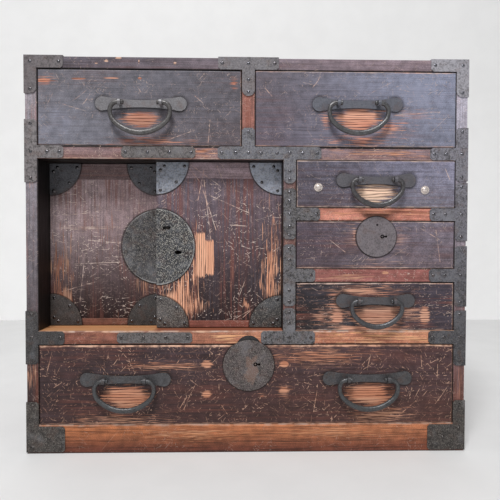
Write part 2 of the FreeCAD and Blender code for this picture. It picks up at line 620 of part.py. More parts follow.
def divider_strap(mid, thickness, up, down, left, right):
    """Strap on the middle divider with a bar on a shelf, to the right and, if given, the left."""
    half = thickness / 2 - IRON_INSET / 2
    x0 = MIDDLE_DIVIDER_X[0] + IRON_INSET
    x1 = MIDDLE_DIVIDER_X[1] - IRON_INSET
    cut = IRON_CORNER_CUT
    top = mid + up
    low = mid - max(down, half)
    outline = [(x1, top, cut), (x1, mid + half, 0), (right, mid + half, cut),
               (right, mid - half, cut)]
    if down > half:
        outline += [(x1, mid - half, 0), (x1, low, cut), (x0, low, cut)]
    if left is not None:
        outline += [(left, mid - half, cut), (left, mid + half, cut), (x0, mid + half, 0)]
    outline += [(x0, top, cut)]
    stem = (x0 + x1) / 2
    points = [(stem, top - NAIL_INSET), (stem, (top + mid) / 2), (stem, mid),
              (right - NAIL_INSET, mid)]
    if down > half:
        points += [(stem, low + NAIL_INSET), (stem, (low + mid) / 2)]
    if left is not None:
        points += [(left + NAIL_INSET, mid)]
    return sheet(outline, FRONT, IRON_THICKNESS), front_nails(points, IRON_FACE)


def rail_strap(span, mid):
    """Short strap along a shelf's front edge, over the rear door's bay."""
    half = STRAP_HEIGHT / 2
    cut = IRON_CORNER_CUT
    x0, x1 = -IN + span[0], -IN + span[1]
    outline = [(x0, mid - half, cut), (x0, mid + half, cut), (x1, mid + half, cut),
               (x1, mid - half, cut)]
    run = x1 - x0 - 2 * NAIL_INSET
    points = [(x0 + NAIL_INSET + run * i / (STRAP_NAILS - 1), mid) for i in range(STRAP_NAILS)]
    return sheet(outline, FRONT, IRON_THICKNESS), front_nails(points, IRON_FACE)


# Middle and thickness of the shelf edges that carry tee and divider irons, top to bottom
UPPER_EDGE = (UPPER_SHELF_MID, UPPER_SHELF_THICKNESS)
SMALL_UPPER_EDGE = (SMALL_SHELF_UPPER_MID, SMALL_SHELF_UPPER_THICKNESS)
SMALL_LOWER_EDGE = (SMALL_SHELF_LOWER_MID, SMALL_SHELF_LOWER_THICKNESS)
LOWER_EDGE = (LOWER_SHELF_MID, LOWER_SHELF_THICKNESS)


def case_irons():
    """Every iron of the case by node, and all their nails."""
    irons = {
        "corner_irons_top": [top_corner_iron(sign) for sign in (-1, 1)],
        "corner_irons_bottom": [bottom_corner_iron(sign) for sign in (-1, 1)],
        "tee_irons_left": [tee_iron(-1, *edge, *legs) for edge, legs in
                           zip((UPPER_EDGE, LOWER_EDGE), LEFT_TEE_LEGS)],
        "tee_irons_right": [tee_iron(1, *edge, *legs) for edge, legs in
                            zip((UPPER_EDGE, SMALL_UPPER_EDGE, SMALL_LOWER_EDGE, LOWER_EDGE),
                                RIGHT_TEE_LEGS)],
        "strap_top_centre": [top_centre_strap()],
        "strap_junction": [junction_strap()],
        "divider_straps": [],
        "rail_straps": [rail_strap(UPPER_STRAP_SPAN, UPPER_SHELF_MID),
                        rail_strap(LOWER_STRAP_SPAN, LOWER_SHELF_MID)],
    }
    for edge, legs, reach in zip((SMALL_UPPER_EDGE, SMALL_LOWER_EDGE, LOWER_EDGE), DIVIDER_LEGS,
                                 DIVIDER_ARM_REACH):
        left = MIDDLE_DIVIDER_X[0] - DIVIDER_BAR_REACH if edge == LOWER_EDGE else None
        irons["divider_straps"].append(
            divider_strap(*edge, *legs, left, MIDDLE_DIVIDER_X[1] + reach))
    nodes = {name: group([shape for shape, _ in pairs]) for name, pairs in irons.items()}
    nails = [nail for pairs in irons.values() for _, heads in pairs for nail in heads]
    nodes["frame_nails"] = group(nails)
    return nodes


# ---------------------------------------------------------------- drawers
def front_y(bay):
    """Face of a shut drawer."""
    return FRONT - bay.proud


def front_box(bay):
    """Lowest and highest x and z of a drawer front."""
    return (bay.x0 + DRAWER_SIDE_GAP, bay.x1 - DRAWER_SIDE_GAP,
            bay.z0 + DRAWER_RUN_GAP, bay.z1 - DRAWER_TOP_GAP)


def drawer_walls(bay):
    """The two sides, the bottom and the back of a drawer, each its own board."""
    x0, x1, z0, z1 = front_box(bay)
    y_seat = front_y(bay) + DRAWER_FRONT_THICKNESS - DRAWER_FRONT_REBATE
    y_end = BACK_IN - DRAWER_BACK_GAP
    floor = z0 + DRAWER_BOTTOM_THICKNESS
    top = z1 - DRAWER_WALL_DROP
    inner_x0 = x0 + DRAWER_SIDE_THICKNESS
    inner_x1 = x1 - DRAWER_SIDE_THICKNESS
    return [block(x0, inner_x0, y_seat, y_end, floor, top),
            block(inner_x1, x1, y_seat, y_end, floor, top),
            block(x0, x1, y_seat, y_end, z0, floor),
            block(inner_x0, inner_x1, y_end - DRAWER_BACK_THICKNESS, y_end, floor, top)]


def drawer_front(bay):
    """Drawer front with a softened face, rebates for the walls, and its pull's and lock's holes."""
    x0, x1, z0, z1 = front_box(bay)
    y = front_y(bay)
    board = block(x0, x1, y, y + DRAWER_FRONT_THICKNESS, z0, z1)
    face_edges = [edge for edge in board.Edges if edge.BoundBox.YMax < y + 1e-3]
    board = board.makeChamfer(DRAWER_ARRIS, face_edges)
    cuts = drawer_walls(bay)
    for pull in PULLS:
        if pull.drawer == bay.name:
            cuts += [eye_shank(pull, sign) for sign in (-1, 1)]
    if bay.name in LOCKS:
        cuts += lock_recess(LOCKS[bay.name])
    return board.cut(cuts)


# ---------------------------------------------------------------- pulls
EYE_RADIUS = BAIL_END_RADIUS + EYE_FIT


def pull_face(pull):
    """Face of the drawer that a pull sits on."""
    return front_y(BAY[pull.drawer])


def pull_plate(pull):
    """Backplate: a disc at each end, joined by two long hollow arcs."""
    reach = pull.size.plate / 2 - PLATE_DISC_RADIUS
    disc = PLATE_DISC_RADIUS
    waist = PLATE_WAIST_HALF
    hollow = (reach ** 2 + waist ** 2 - disc ** 2) / (2 * (disc - waist))
    share = disc / (disc + hollow)
    touch_x = reach * (1 - share)
    touch_z = (waist + hollow) * share
    y = pull_face(pull)

    def at(x, z):
        return Vector(pull.x + x, y, pull.z + z)

    edges = [
        Part.Arc(at(-touch_x, touch_z), at(0, waist), at(touch_x, touch_z)).toShape(),
        Part.Arc(at(touch_x, touch_z), at(reach + disc, 0), at(touch_x, -touch_z)).toShape(),
        Part.Arc(at(touch_x, -touch_z), at(0, -waist), at(-touch_x, -touch_z)).toShape(),
        Part.Arc(at(-touch_x, -touch_z), at(-reach - disc, 0), at(-touch_x, touch_z)).toShape(),
    ]
    plate = Part.Face(Part.Wire(edges)).extrude(Vector(0, -PLATE_THICKNESS, 0))
    return plate.cut([eye_shank(pull, sign) for sign in (-1, 1)])


def eye_shank(pull, sign):
    """Square shank of an eye pin, from the eye's ring to the inside of the drawer front."""
    x = pull.x + sign * pull.size.spacing / 2
    y = pull_face(pull)
    half = EYE_WIDTH / 2
    start = y - BAIL_STANDOFF + EYE_RADIUS + EYE_STRAP / 2
    return block(x - half, x + half, start, y + DRAWER_FRONT_THICKNESS,
                 pull.z - EYE_STRAP, pull.z + EYE_STRAP)


def eye_pin(pull, sign):
    """Split eye pin: a strap bent round the bail's end, its tails clinched inside the drawer."""
    x = pull.x + sign * pull.size.spacing / 2 - EYE_WIDTH / 2
    axis_y = pull_face(pull) - BAIL_STANDOFF
    inside = pull_face(pull) + DRAWER_FRONT_THICKNESS
    along_x = Vector(1, 0, 0)
    ring = rod(x, axis_y, pull.z, EYE_RADIUS + EYE_STRAP, EYE_WIDTH, along_x)
    bore = rod(x, axis_y, pull.z, EYE_RADIUS, EYE_WIDTH, along_x)
    tails = block(x, x + EYE_WIDTH, inside, inside + EYE_STRAP,
                  pull.z - CLINCH_LENGTH, pull.z + CLINCH_LENGTH)
    return fused(ring, eye_shank(pull, sign), tails).cut(bore)


def bail_shoulder_start(size):
    """How far from a bail's middle its shoulders meet the round journals."""
    return size.spacing / 2 + EYE_WIDTH / 2 + EYE_CLEARANCE


def bail_curve(size, sign, inset, foot_inset, shoulder_z):
    """One edge of one side of a bail, about its own middle: shoulder, side, side bend and foot."""
    start = bail_shoulder_start(size)
    half_width = size.width / 2 - inset
    drop = size.drop - foot_inset
    bend = size.side_bend - inset
    shoulder_low = shoulder_z - (half_width - start)
    side_z = -size.width / 2 + start - BAIL_SIDE_RUN + BAIL_SHOULDER_HALF
    across = half_width - bend
    below = drop + side_z
    foot = (across ** 2 + below ** 2 - bend ** 2) / (2 * (below - bend))
    share = bend / (foot - bend)
    touch_x = across * (1 + share)
    touch_z = side_z + (below - foot) * share

    def at(x, z):
        return Vector(sign * x, BAIL_SIDE_RADIUS, z)

    def arc(centre, end_a, end_b):
        middle = (end_a + end_b) / 2 - centre
        middle = centre + middle.normalize() * centre.distanceToPoint(end_a)
        return Part.Arc(end_a, middle, end_b).toShape()

    return [
        arc(at(start, shoulder_low), at(start, shoulder_z), at(half_width, shoulder_low)),
        Part.LineSegment(at(half_width, shoulder_low), at(half_width, side_z)).toShape(),
        arc(at(across, side_z), at(half_width, side_z), at(touch_x, touch_z)),
        arc(at(0, foot - drop), at(touch_x, touch_z), at(0, -drop)),
    ]


def bail(pull):
    """Forged bail: a flat bar, heaviest at its foot, with round journals and end knobs."""
    start = bail_shoulder_start(pull.size)
    end = BAIL_SHOULDER_HALF
    edges = []
    for sign in (-1, 1):
        edges += bail_curve(pull.size, sign, 0, 0, end)
        edges += bail_curve(pull.size, sign, 2 * BAIL_SIDE_RADIUS, 2 * BAIL_FOOT_RADIUS, -end)
        edges.append(Part.LineSegment(Vector(sign * start, BAIL_SIDE_RADIUS, -end),
                                      Vector(sign * start, BAIL_SIDE_RADIUS, end)).toShape())
    outline = Part.Wire(Part.__sortEdges__(edges))
    bar = Part.Face(outline).extrude(Vector(0, -2 * BAIL_SIDE_RADIUS, 0))
    shape = bar.fuse([piece for sign in (-1, 1) for piece in bail_end(pull.size, sign)])
    shape.translate(Vector(pull.x, pull_face(pull) - BAIL_STANDOFF, pull.z))
    return shape


def bail_end(size, sign):
    """Round journal that turns in the eye, and the knob that keeps it there."""
    way = Vector(-sign, 0, 0)
    start = bail_shoulder_start(size)
    length = EYE_WIDTH + 2 * EYE_CLEARANCE
    return [rod(sign * start, 0, 0, BAIL_END_RADIUS, length, way),
            rod(sign * (start - length), 0, 0, BAIL_KNOB_RADIUS, BAIL_KNOB_LENGTH, way)]


# ---------------------------------------------------------------- drawer locks
def keyhole(x, z, y0, y1):
    """Keyhole lying on its side: a round hole for the key's barrel and a small end for its bit."""
    depth = y1 - y0
    forward = Vector(0, 1, 0)
    barrel = rod(x, y0, z, KEYHOLE_RADIUS, depth, forward)
    small_end = rod(x + KEYHOLE_LENGTH, y0, z, KEYHOLE_END_RADIUS, depth, forward)
    slot = block(x, x + KEYHOLE_LENGTH, y0, y1, z - KEYHOLE_END_RADIUS / 2,
                 z + KEYHOLE_END_RADIUS / 2)
    return fused(barrel, small_end, slot)


def lock_places(lock):
    """Face, inside face and top edge of the drawer front that a lock is let into."""
    bay = BAY[lock.drawer]
    face = front_y(bay)
    return face, face + DRAWER_FRONT_THICKNESS, front_box(bay)[3]


def lock_case_box(lock, margin=0.0):
    """Outside of a lock case, let into the inside of the drawer front; margin shrinks it."""
    _, inside, top = lock_places(lock)
    high = top - LOCK_CASE_TOP_DROP
    half = LOCK_CASE_WIDTH / 2 - margin
    return block(lock.x - half, lock.x + half, inside - LOCK_CASE_DEPTH, inside - margin,
                 high - LOCK_CASE_HEIGHT + margin, high - margin)


def bolt_box(lock, rise=0.0, margin=0.0):
    """A drawer bolt, raised by rise and grown by margin."""
    _, inside, top = lock_places(lock)
    floor = top - LOCK_CASE_TOP_DROP - LOCK_CASE_HEIGHT + LOCK_CASE_WALL + BOLT_CLEARANCE
    back = inside - LOCK_CASE_WALL - BOLT_CLEARANCE
    half = BOLT_WIDTH / 2 + margin
    return block(lock.x - half, lock.x + half, back - BOLT_THICKNESS - margin, back + margin,
                 floor, top - BOLT_CLEARANCE + rise + margin)


def lock_recess(lock):
    """What a lock cuts out of its drawer front: case, bolt slot and keyhole."""
    face, inside, top = lock_places(lock)
    slot = bolt_box(lock, BOLT_TRAVEL, BOLT_CLEARANCE)
    above = slot.cut(block(lock.x - LOCK_CASE_WIDTH, lock.x + LOCK_CASE_WIDTH, face, inside,
                           0, top - LOCK_CASE_TOP_DROP))
    hole = keyhole(lock.x + lock.key_dx, lock.z + lock.key_dz, face - 1, inside - LOCK_CASE_WALL)
    return [lock_case_box(lock), above, hole]


def bolt_mortise(lock):
    """Mortise in the shelf above for a raised bolt."""
    _, _, top = lock_places(lock)
    reach = bolt_box(lock, BOLT_TRAVEL, BOLT_CLEARANCE).BoundBox
    return block(reach.XMin, reach.XMax, reach.YMin, reach.YMax, top, reach.ZMax)


def strike_solid(lock):
    """Strike plate let flush into the shelf's front edge, its leaf bent under round the mortise."""
    z0 = BAY[lock.drawer].z1
    half = lock.strike_width / 2
    rise = lock.strike_height
    points = [Vector(lock.x + x, FRONT + STRIKE_DEPTH, z0 + z) for x, z in
              ((-half, 0), (0, rise), (half, 0))]
    edges = [Part.Arc(*points).toShape(), Part.LineSegment(points[2], points[0]).toShape()]
    front = Part.Face(Part.Wire(edges)).extrude(Vector(0, -STRIKE_DEPTH, 0))
    mortise = bolt_mortise(lock).BoundBox
    under = block(lock.x - half, lock.x + half, FRONT, mortise.YMax + KEEPER_MARGIN,
                  z0, z0 + STRIKE_DEPTH)
    return fused(front, under).cut(bolt_mortise(lock))


def drawer_lock(lock):
    """Round lock plate with its keyhole, and the lock case with the key's pin behind it."""
    face, inside, _ = lock_places(lock)
    x = lock.x + lock.key_dx
    z = lock.z + lock.key_dz
    front = face - LOCK_PLATE_THICKNESS
    plate = rod(lock.x, front, lock.z, lock.radius, LOCK_PLATE_THICKNESS, Vector(0, 1, 0))
    plate = plate.cut(keyhole(x, z, front, face))
    if lock.pin_hole:
        plate = plate.cut(rod(lock.x + lock.pin_hole[0], front, lock.z + lock.pin_hole[1],
                              PIN_HOLE_RADIUS, LOCK_PLATE_THICKNESS, Vector(0, 1, 0)))
    shell = lock_case_box(lock).cut(
        [lock_case_box(lock, LOCK_CASE_WALL), bolt_box(lock, BOLT_TRAVEL, BOLT_CLEARANCE)])
    pin = rod(x, front, z, KEY_PIN_RADIUS, inside - front, Vector(0, 1, 0))
    return group([plate, fused(shell, pin)])


def drawer_bolt(lock):
    """Flat bolt with the notch that the key lifts it by."""
    box = bolt_box(lock).BoundBox
    z = lock.z + lock.key_dz
    notch = block(box.XMax - BOLT_NOTCH, box.XMax, box.YMin, box.YMax,
                  z - BOLT_NOTCH, z + BOLT_NOTCH)
    return bolt_box(lock).cut(notch)


# ---------------------------------------------------------------- sliding doors
def door_board(x0, y0):
    """Upright-grained board of a door, tongued into both end boards."""
    low = DOOR_Z[0] + DOOR_BOTTOM_END_WIDTH
    high = DOOR_Z[1] - DOOR_TOP_END_WIDTH
    board = block(x0, x0 + DOOR_WIDTH, y0, y0 + DOOR_THICKNESS, low, high)
    return fused(board, door_tongue(x0, y0, low, -DOOR_END_TONGUE),
                 door_tongue(x0, y0, high, DOOR_END_TONGUE))


def door_tongue(x0, y0, z_edge, height):
    """Tongue of the upright board, up or down from its end."""
    y = y0 + (DOOR_THICKNESS - DOOR_END_TONGUE_THICKNESS) / 2
    return block(x0, x0 + DOOR_WIDTH, y, y + DOOR_END_TONGUE_THICKNESS, z_edge, z_edge + height)


def door_ends(x0, y0):
    """The two cross-grained end boards, with the guides that run in the case's grooves."""
    y_guide = y0 + (DOOR_THICKNESS - GUIDE_THICKNESS) / 2
    spans = ((DOOR_Z[0], DOOR_BOTTOM_END_WIDTH, DOOR_SILL_Z - SILL_GROOVE_DEPTH + DRAWER_RUN_GAP),
             (DOOR_Z[1], -DOOR_TOP_END_WIDTH, DOOR_Z[1] + HEAD_GUIDE_HEIGHT))
    ends = []
    for edge, width, guide in spans:
        bar = block(x0, x0 + DOOR_WIDTH, y0, y0 + DOOR_THICKNESS, edge, edge + width)
        rib = block(x0, x0 + DOOR_WIDTH, y_guide, y_guide + GUIDE_THICKNESS, edge, guide)
        ends.append(fused(bar, rib).cut(door_board(x0, y0)))
    return group(ends)


def quarter_iron(corner_x, corner_z, way_x, way_z, y_face):
    """Quarter-round iron in a door's corner, with its five nails."""
    radius = DOOR_IRON_RADIUS
    disc = rod(corner_x, y_face - IRON_THICKNESS, corner_z, radius, IRON_THICKNESS,
               Vector(0, 1, 0))
    square = block(corner_x, corner_x + way_x * radius, y_face - IRON_THICKNESS, y_face,
                   corner_z, corner_z + way_z * radius)
    reach = radius - NAIL_INSET
    places = ((NAIL_INSET, NAIL_INSET * 2), (NAIL_INSET * 2, NAIL_INSET), (NAIL_INSET, reach),
              (reach, NAIL_INSET), (reach / sqrt(2), reach / sqrt(2)))
    points = [(corner_x + way_x * x, corner_z + way_z * z) for x, z in places]
    return [disc.common(square)] + front_nails(points, y_face - IRON_THICKNESS)


def door_irons(x0, x1, y_face):
    """The four corner irons of a door between two upright edges, with their nails."""
    solids = []
    for x, way_x in ((x0, 1), (x1, -1)):
        for z, way_z in ((DOOR_Z[0], 1), (DOOR_Z[1], -1)):
            solids += quarter_iron(x, z, way_x, way_z, y_face)
    return group(solids)


def half_plate(x_edge, way_x, y_face):
    """Half of the round plate that the two doors share."""
    disc = rod(x_edge, y_face - IRON_THICKNESS, HALF_PLATE_Z, HALF_PLATE_RADIUS,
               IRON_THICKNESS, Vector(0, 1, 0))
    half = block(x_edge, x_edge + way_x * HALF_PLATE_RADIUS, y_face - IRON_THICKNESS, y_face,
                 HALF_PLATE_Z - HALF_PLATE_RADIUS, HALF_PLATE_Z + HALF_PLATE_RADIUS)
    return disc.common(half)


def door_bolt_box(margin=0.0, y0=FRONT_DOOR_Y, y1=FRONT_DOOR_Y + DOOR_THICKNESS):
    """Bar across the front door's thickness at the bolt's place, grown sideways by margin."""
    x = FRONT_DOOR_X + DOOR_SLOT_DX
    z = HALF_PLATE_Z + DOOR_SLOT_DZ
    half_x = DOOR_BOLT_WIDTH / 2 + margin
    half_z = DOOR_BOLT_HEIGHT / 2 + margin
    return block(x - half_x, x + half_x, y0, y1, z - half_z, z + half_z)


def door_keyhole():
    """Keyhole of the front door's lock, from the plate to the case behind it."""
    return keyhole(FRONT_DOOR_X + DOOR_KEY_DX, HALF_PLATE_Z + DOOR_KEY_DZ,
                   FRONT_DOOR_Y - IRON_THICKNESS,
                   FRONT_DOOR_Y + DOOR_THICKNESS - LOCK_CASE_WALL)


def door_lock_case(margin=0.0):
    """Outside of the front door's lock case, let into the door's back."""
    back = FRONT_DOOR_Y + DOOR_THICKNESS
    x0, x1 = DOOR_LOCK_CASE_X
    z0, z1 = DOOR_LOCK_CASE_DZ
    return block(FRONT_DOOR_X + x0 + margin, FRONT_DOOR_X + x1 - margin,
                 back - DOOR_LOCK_CASE_DEPTH, back - margin,
                 HALF_PLATE_Z + z0 + margin, HALF_PLATE_Z + z1 - margin)


def bolt_bore():
    """Clear way for the door bolt through plate, door and lock case."""
    return door_bolt_box(BOLT_CLEARANCE, FRONT_DOOR_Y - IRON_THICKNESS,
                         FRONT_DOOR_Y + DOOR_THICKNESS)


def front_door_board():
    """Front door's board, cut for its lock."""
    return door_board(FRONT_DOOR_X, FRONT_DOOR_Y).cut(
        [door_lock_case(), bolt_bore(), door_keyhole()])


def front_door_lock():
    """Half plate with slot and keyhole, and the lock case behind it."""
    plate = half_plate(FRONT_DOOR_X, 1, FRONT_DOOR_Y).cut([bolt_bore(), door_keyhole()])
    shell = door_lock_case().cut([door_lock_case(LOCK_CASE_WALL), bolt_bore()])
    front = FRONT_DOOR_Y - IRON_THICKNESS
    pin = rod(FRONT_DOOR_X + DOOR_KEY_DX, front, HALF_PLATE_Z + DOOR_KEY_DZ,
              KEY_PIN_RADIUS, DOOR_THICKNESS + IRON_THICKNESS, Vector(0, 1, 0))
    return group([plate, fused(shell, pin)])


def front_door_bolt():
    """Bolt of the front door, drawn back flush inside it."""
    return door_bolt_box(0, FRONT_DOOR_Y + BOLT_CLEARANCE,
                         FRONT_DOOR_Y + DOOR_THICKNESS - BOLT_CLEARANCE)


def keeper_solid():
    """Keeper let flush into the rear door, where the doors lap."""
    bolt = door_bolt_box().BoundBox
    plate = block(bolt.XMin - KEEPER_SIDE_MARGIN, bolt.XMax + KEEPER_SIDE_MARGIN, REAR_DOOR_Y,
                  REAR_DOOR_Y + IRON_THICKNESS, bolt.ZMin - KEEPER_MARGIN, bolt.ZMax + KEEPER_MARGIN)
    return plate.cut(keeper_mortise())


def keeper_mortise():
    """Mortise in the rear door for the front door's bolt."""
    return door_bolt_box(BOLT_CLEARANCE, REAR_DOOR_Y, REAR_DOOR_Y + KEEPER_DEPTH)


def rear_door_board():
    """Rear door's board, cut for the keeper."""
    return door_board(REAR_DOOR_X, REAR_DOOR_Y).cut([keeper_solid(), keeper_mortise()])


def rear_half_plate():
    """Rear half of the round plate, and the keeper."""
    edge = FRONT_DOOR_X + DOOR_GAP / 2
    return group([half_plate(edge, -1, REAR_DOOR_Y), keeper_solid()])


# ---------------------------------------------------------------- studs
def stud(x, z):
    """Domed stud on a flat collar, turned about its own axis; the dome is hammered in facets."""
    y = front_y(BAY["small_upper"])
    dome_base = y - STUD_FLANGE
    turns = [pi / 2 * i / STUD_FACETS for i in range(STUD_FACETS)]
    dome = [(STUD_DOME_RADIUS * cos(turn), dome_base - STUD_DOME_HEIGHT * sin(turn))
            for turn in turns]
    profile = [(0, y), (STUD_RADIUS, y), (STUD_RADIUS, dome_base)] + dome + [(0, dome[-1][1])]
    points = [Vector(x + across, depth, z) for across, depth in profile]
    face = Part.Face(Part.makePolygon(points + [points[0]]))
    return face.revolve(Vector(x, y, z), Vector(0, 1, 0), 360)


# ---------------------------------------------------------------- all nodes
def build():
    """Every node of the chest by name."""
    nodes = {
        "side_left": side_board(-1),
        "side_right": side_board(1),
        "top_board": top_board(),
        "bottom_board": bottom_board(),
        "back_boards": back_boards(),
        "base_rail": base_rail_blank(),
        "drawer_runners": drawer_runners(),
        "shelf_upper": shelf_upper(),
        "shelf_lower": shelf_lower(),
        "divider_top": top_divider_blank(),
        "divider_middle": middle_divider(),
        "small_shelf_upper": small_shelf_upper(),
        "small_shelf_lower": small_shelf(SMALL_SHELF_LOWER_Z, SMALL_SHELF_LOWER_THICKNESS),
        "strike_plates": group([strike_solid(lock) for lock in LOCKS.values()]),
        "front_door_board": front_door_board(),
        "front_door_ends": door_ends(FRONT_DOOR_X, FRONT_DOOR_Y),
        "front_door_irons": door_irons(FRONT_DOOR_X, FRONT_DOOR_X + DOOR_WIDTH, FRONT_DOOR_Y),
        "front_door_lock": front_door_lock(),
        "front_door_bolt": front_door_bolt(),
        "rear_door_board": rear_door_board(),
        "rear_door_ends": door_ends(REAR_DOOR_X, REAR_DOOR_Y),
        "rear_door_irons": door_irons(REAR_DOOR_X, REAR_DOOR_X + DOOR_WIDTH - DOOR_LAP,
                                      REAR_DOOR_Y),
        "rear_door_half_plate": rear_half_plate(),
        "small_drawer_lock": drawer_lock(LOCKS["small_middle"]),
        "small_drawer_bolt": drawer_bolt(LOCKS["small_middle"]),
        "wide_drawer_lock": drawer_lock(LOCKS["wide"]),
        "wide_drawer_bolt": drawer_bolt(LOCKS["wide"]),
        "small_upper_studs": group([stud(*in_bay("small_upper", place))
                                    for place in STUD_PLACES]),
    }
    nodes.update(case_irons())
    for bay in BAYS:
        nodes[f"drawer_{bay.name}_front"] = drawer_front(bay)
        nodes[f"drawer_{bay.name}_box"] = group(drawer_walls(bay))
        pulls = [pull for pull in PULLS if pull.drawer == bay.name]
        if pulls:
            plates = [pull_plate(pull) for pull in pulls]
            pins = [eye_pin(pull, sign) for pull in pulls for sign in (-1, 1)]
            nodes[f"pull_plates_{bay.name}"] = group(plates + pins)
    for pull in PULLS:
        nodes[f"bail_{pull.name}"] = bail(pull)
    return nodes


if __name__ == "__main__":
    os.makedirs("parts", exist_ok=True)
    for name, shape in build().items():
        shape.exportStep(f"parts/{name}.step")
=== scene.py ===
"""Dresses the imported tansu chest: worn lacquered wood, forged irons, stage, lamp and camera.

Lengths in the tables and in the material nodes are millimetres in the row frame, x to the right,
y into the chest and z up; Blender's own places are metres.
"""

from math import cos, pi, radians, sin
from types import SimpleNamespace

import bmesh
import bpy
from mathutils import Matrix, Vector


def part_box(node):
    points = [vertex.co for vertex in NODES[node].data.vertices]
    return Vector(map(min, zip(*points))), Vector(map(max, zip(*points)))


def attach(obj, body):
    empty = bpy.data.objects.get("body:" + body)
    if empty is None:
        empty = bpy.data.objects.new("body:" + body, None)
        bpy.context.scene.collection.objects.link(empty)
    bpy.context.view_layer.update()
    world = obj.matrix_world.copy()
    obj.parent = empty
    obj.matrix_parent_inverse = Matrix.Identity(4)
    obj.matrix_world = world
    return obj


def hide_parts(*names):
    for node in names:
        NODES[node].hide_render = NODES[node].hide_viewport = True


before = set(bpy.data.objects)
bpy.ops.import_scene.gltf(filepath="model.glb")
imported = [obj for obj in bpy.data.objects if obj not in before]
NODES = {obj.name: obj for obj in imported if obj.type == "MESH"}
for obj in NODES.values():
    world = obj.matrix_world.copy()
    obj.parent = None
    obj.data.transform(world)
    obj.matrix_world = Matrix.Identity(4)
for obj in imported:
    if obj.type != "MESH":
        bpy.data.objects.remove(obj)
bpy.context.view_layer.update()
MM = 0.001
FRONT = -151.5  # front of the case, mm


# ---- material nodes
def linear(colour):
    """Linear colour with alpha from 0-255 sRGB values."""
    def channel(value):
        value /= 255
        return value / 12.92 if value <= 0.04045 else ((value + 0.055) / 1.055) ** 2.4

    return tuple(channel(value) for value in colour) + (1.0,)


class Tree:
    """Node tree of one material; every call adds a node and returns its output socket."""

    def __init__(self, name):
        self.material = bpy.data.materials.new(name)
        self.material.use_nodes = True
        tree = self.material.node_tree
        self.nodes = tree.nodes
        self.links = tree.links
        self.shader = self.nodes["Principled BSDF"]
        place = self.nodes.new("ShaderNodeTexCoord").outputs["Object"]
        self.place = self.vector("MULTIPLY", place, (1 / MM,) * 3)
        self.x, self.y, self.z = self.parts(self.place)

    def plug(self, socket, value):
        """Links a socket, or sets a plain value; a tone of three numbers becomes linear."""
        if isinstance(value, bpy.types.NodeSocket):
            self.links.new(value, socket)
        elif socket.type == "RGBA" and len(value) == 3:
            socket.default_value = linear(value)
        else:
            socket.default_value = value

    def node(self, kind, values, **settings):
        """New node with its settings made and its first inputs plugged."""
        node = self.nodes.new("ShaderNode" + kind)
        for name, setting in settings.items():
            setattr(node, name, setting)
        for socket, value in zip(node.inputs, values):
            self.plug(socket, value)
        return node

    def math(self, operation, *values):
        return self.node("Math", values, operation=operation).outputs[0]

    def vector(self, operation, *values):
        """Vector maths; a linked value stands for all three axes."""
        output = "Value" if operation in ("LENGTH", "DOT_PRODUCT") else "Vector"
        return self.node("VectorMath", values, operation=operation).outputs[output]

    def times(self, first, *others):
        """Product of values."""
        for other in others:
            first = self.math("MULTIPLY", first, other)
        return first

    def scaled(self, value, slope, start):
        return self.math("MULTIPLY_ADD", value, slope, start)

    def centred(self, value):
        """A value of 0 to 1 moved to lie about zero."""
        return self.math("SUBTRACT", value, 0.5)

    def parts(self, vector):
        return self.node("SeparateXYZ", [vector]).outputs

    def ramp(self, value, low, high, out_low=0.0, out_high=1.0):
        """Smooth step of a value from low to high."""
        values = value, low, high, out_low, out_high
        return self.node("MapRange", values, interpolation_type="SMOOTHSTEP").outputs[0]

    def mix(self, share, first, second):
        node = self.node("Mix", [share], data_type="RGBA")
        self.plug(node.inputs[6], first)
        self.plug(node.inputs[7], second)
        return node.outputs[2]

    def noise(self, size, stretch=(1, 1, 1), seed=0, detail=2.0, rough=0.5):
        """Noise whose features are about size mm, times stretch along each axis."""
        scale = tuple(1 / (size * part) for part in stretch)
        coords = self.vector("MULTIPLY_ADD", self.place, scale, (seed * 7.3,) * 3)
        node = self.node("TexNoise", [coords])
        for name, value in (("Scale", 1.0), ("Detail", detail), ("Roughness", rough)):
            node.inputs[name].default_value = value
        return node.outputs["Fac"]

    def cells(self, size, seed):
        """Voronoi cells about size mm: the way from each cell's point, and its random colour."""
        coords = self.vector("MULTIPLY_ADD", self.place, (1 / size,) * 3, (seed * 3.7,) * 3)
        node = self.node("TexVoronoi", [coords])
        node.inputs["Scale"].default_value = 1.0
        away = self.vector("SUBTRACT", coords, node.outputs["Position"])
        return self.vector("MULTIPLY", away, (size,) * 3), node.outputs["Color"]

    def finish(self, colour, roughness, relief, relief_height):
        """Plugs the shader; relief_height is in mm."""
        self.plug(self.shader.inputs["Base Color"], colour)
        self.plug(self.shader.inputs["Roughness"], roughness)
        bump = self.node("Bump", [])
        depth = relief_height * MM
        for name, value in (("Distance", depth), ("Strength", 1.0), ("Height", relief)):
            self.plug(bump.inputs[name], value)
        self.plug(self.shader.inputs["Normal"], bump.outputs[0])
        return self.material


def scratches(tree, cell, width, length, share, seed, lean=(1, 1, 1)):
    """Nearly straight scratches, one in each Voronoi cell that has one; lean favours a way."""
    away, chance = tree.cells(cell, seed)
    bend = tree.noise(cell * 1.5, seed=seed)
    way = tree.vector("MULTIPLY", tree.vector("SUBTRACT", chance, (0.5, 0.5, 0.5)), lean)
    way = tree.vector("NORMALIZE", tree.vector("MULTIPLY", way, (1, 0.2, 1)))
    across = tree.scaled(bend, cell * 0.16, cell * -0.08)
    across = tree.math("ADD", tree.vector("DOT_PRODUCT", away, way), across)
    line = tree.ramp(tree.math("ABSOLUTE", across), width, width * 0.3)
    red, green, blue = tree.parts(chance)
    reach = tree.times(blue, length)
    inside = tree.math("LESS_THAN", tree.vector("LENGTH", away), reach)
    present = tree.math("LESS_THAN", tree.math("ADD", red, green), share * 2)
    return tree.times(line, inside, present)


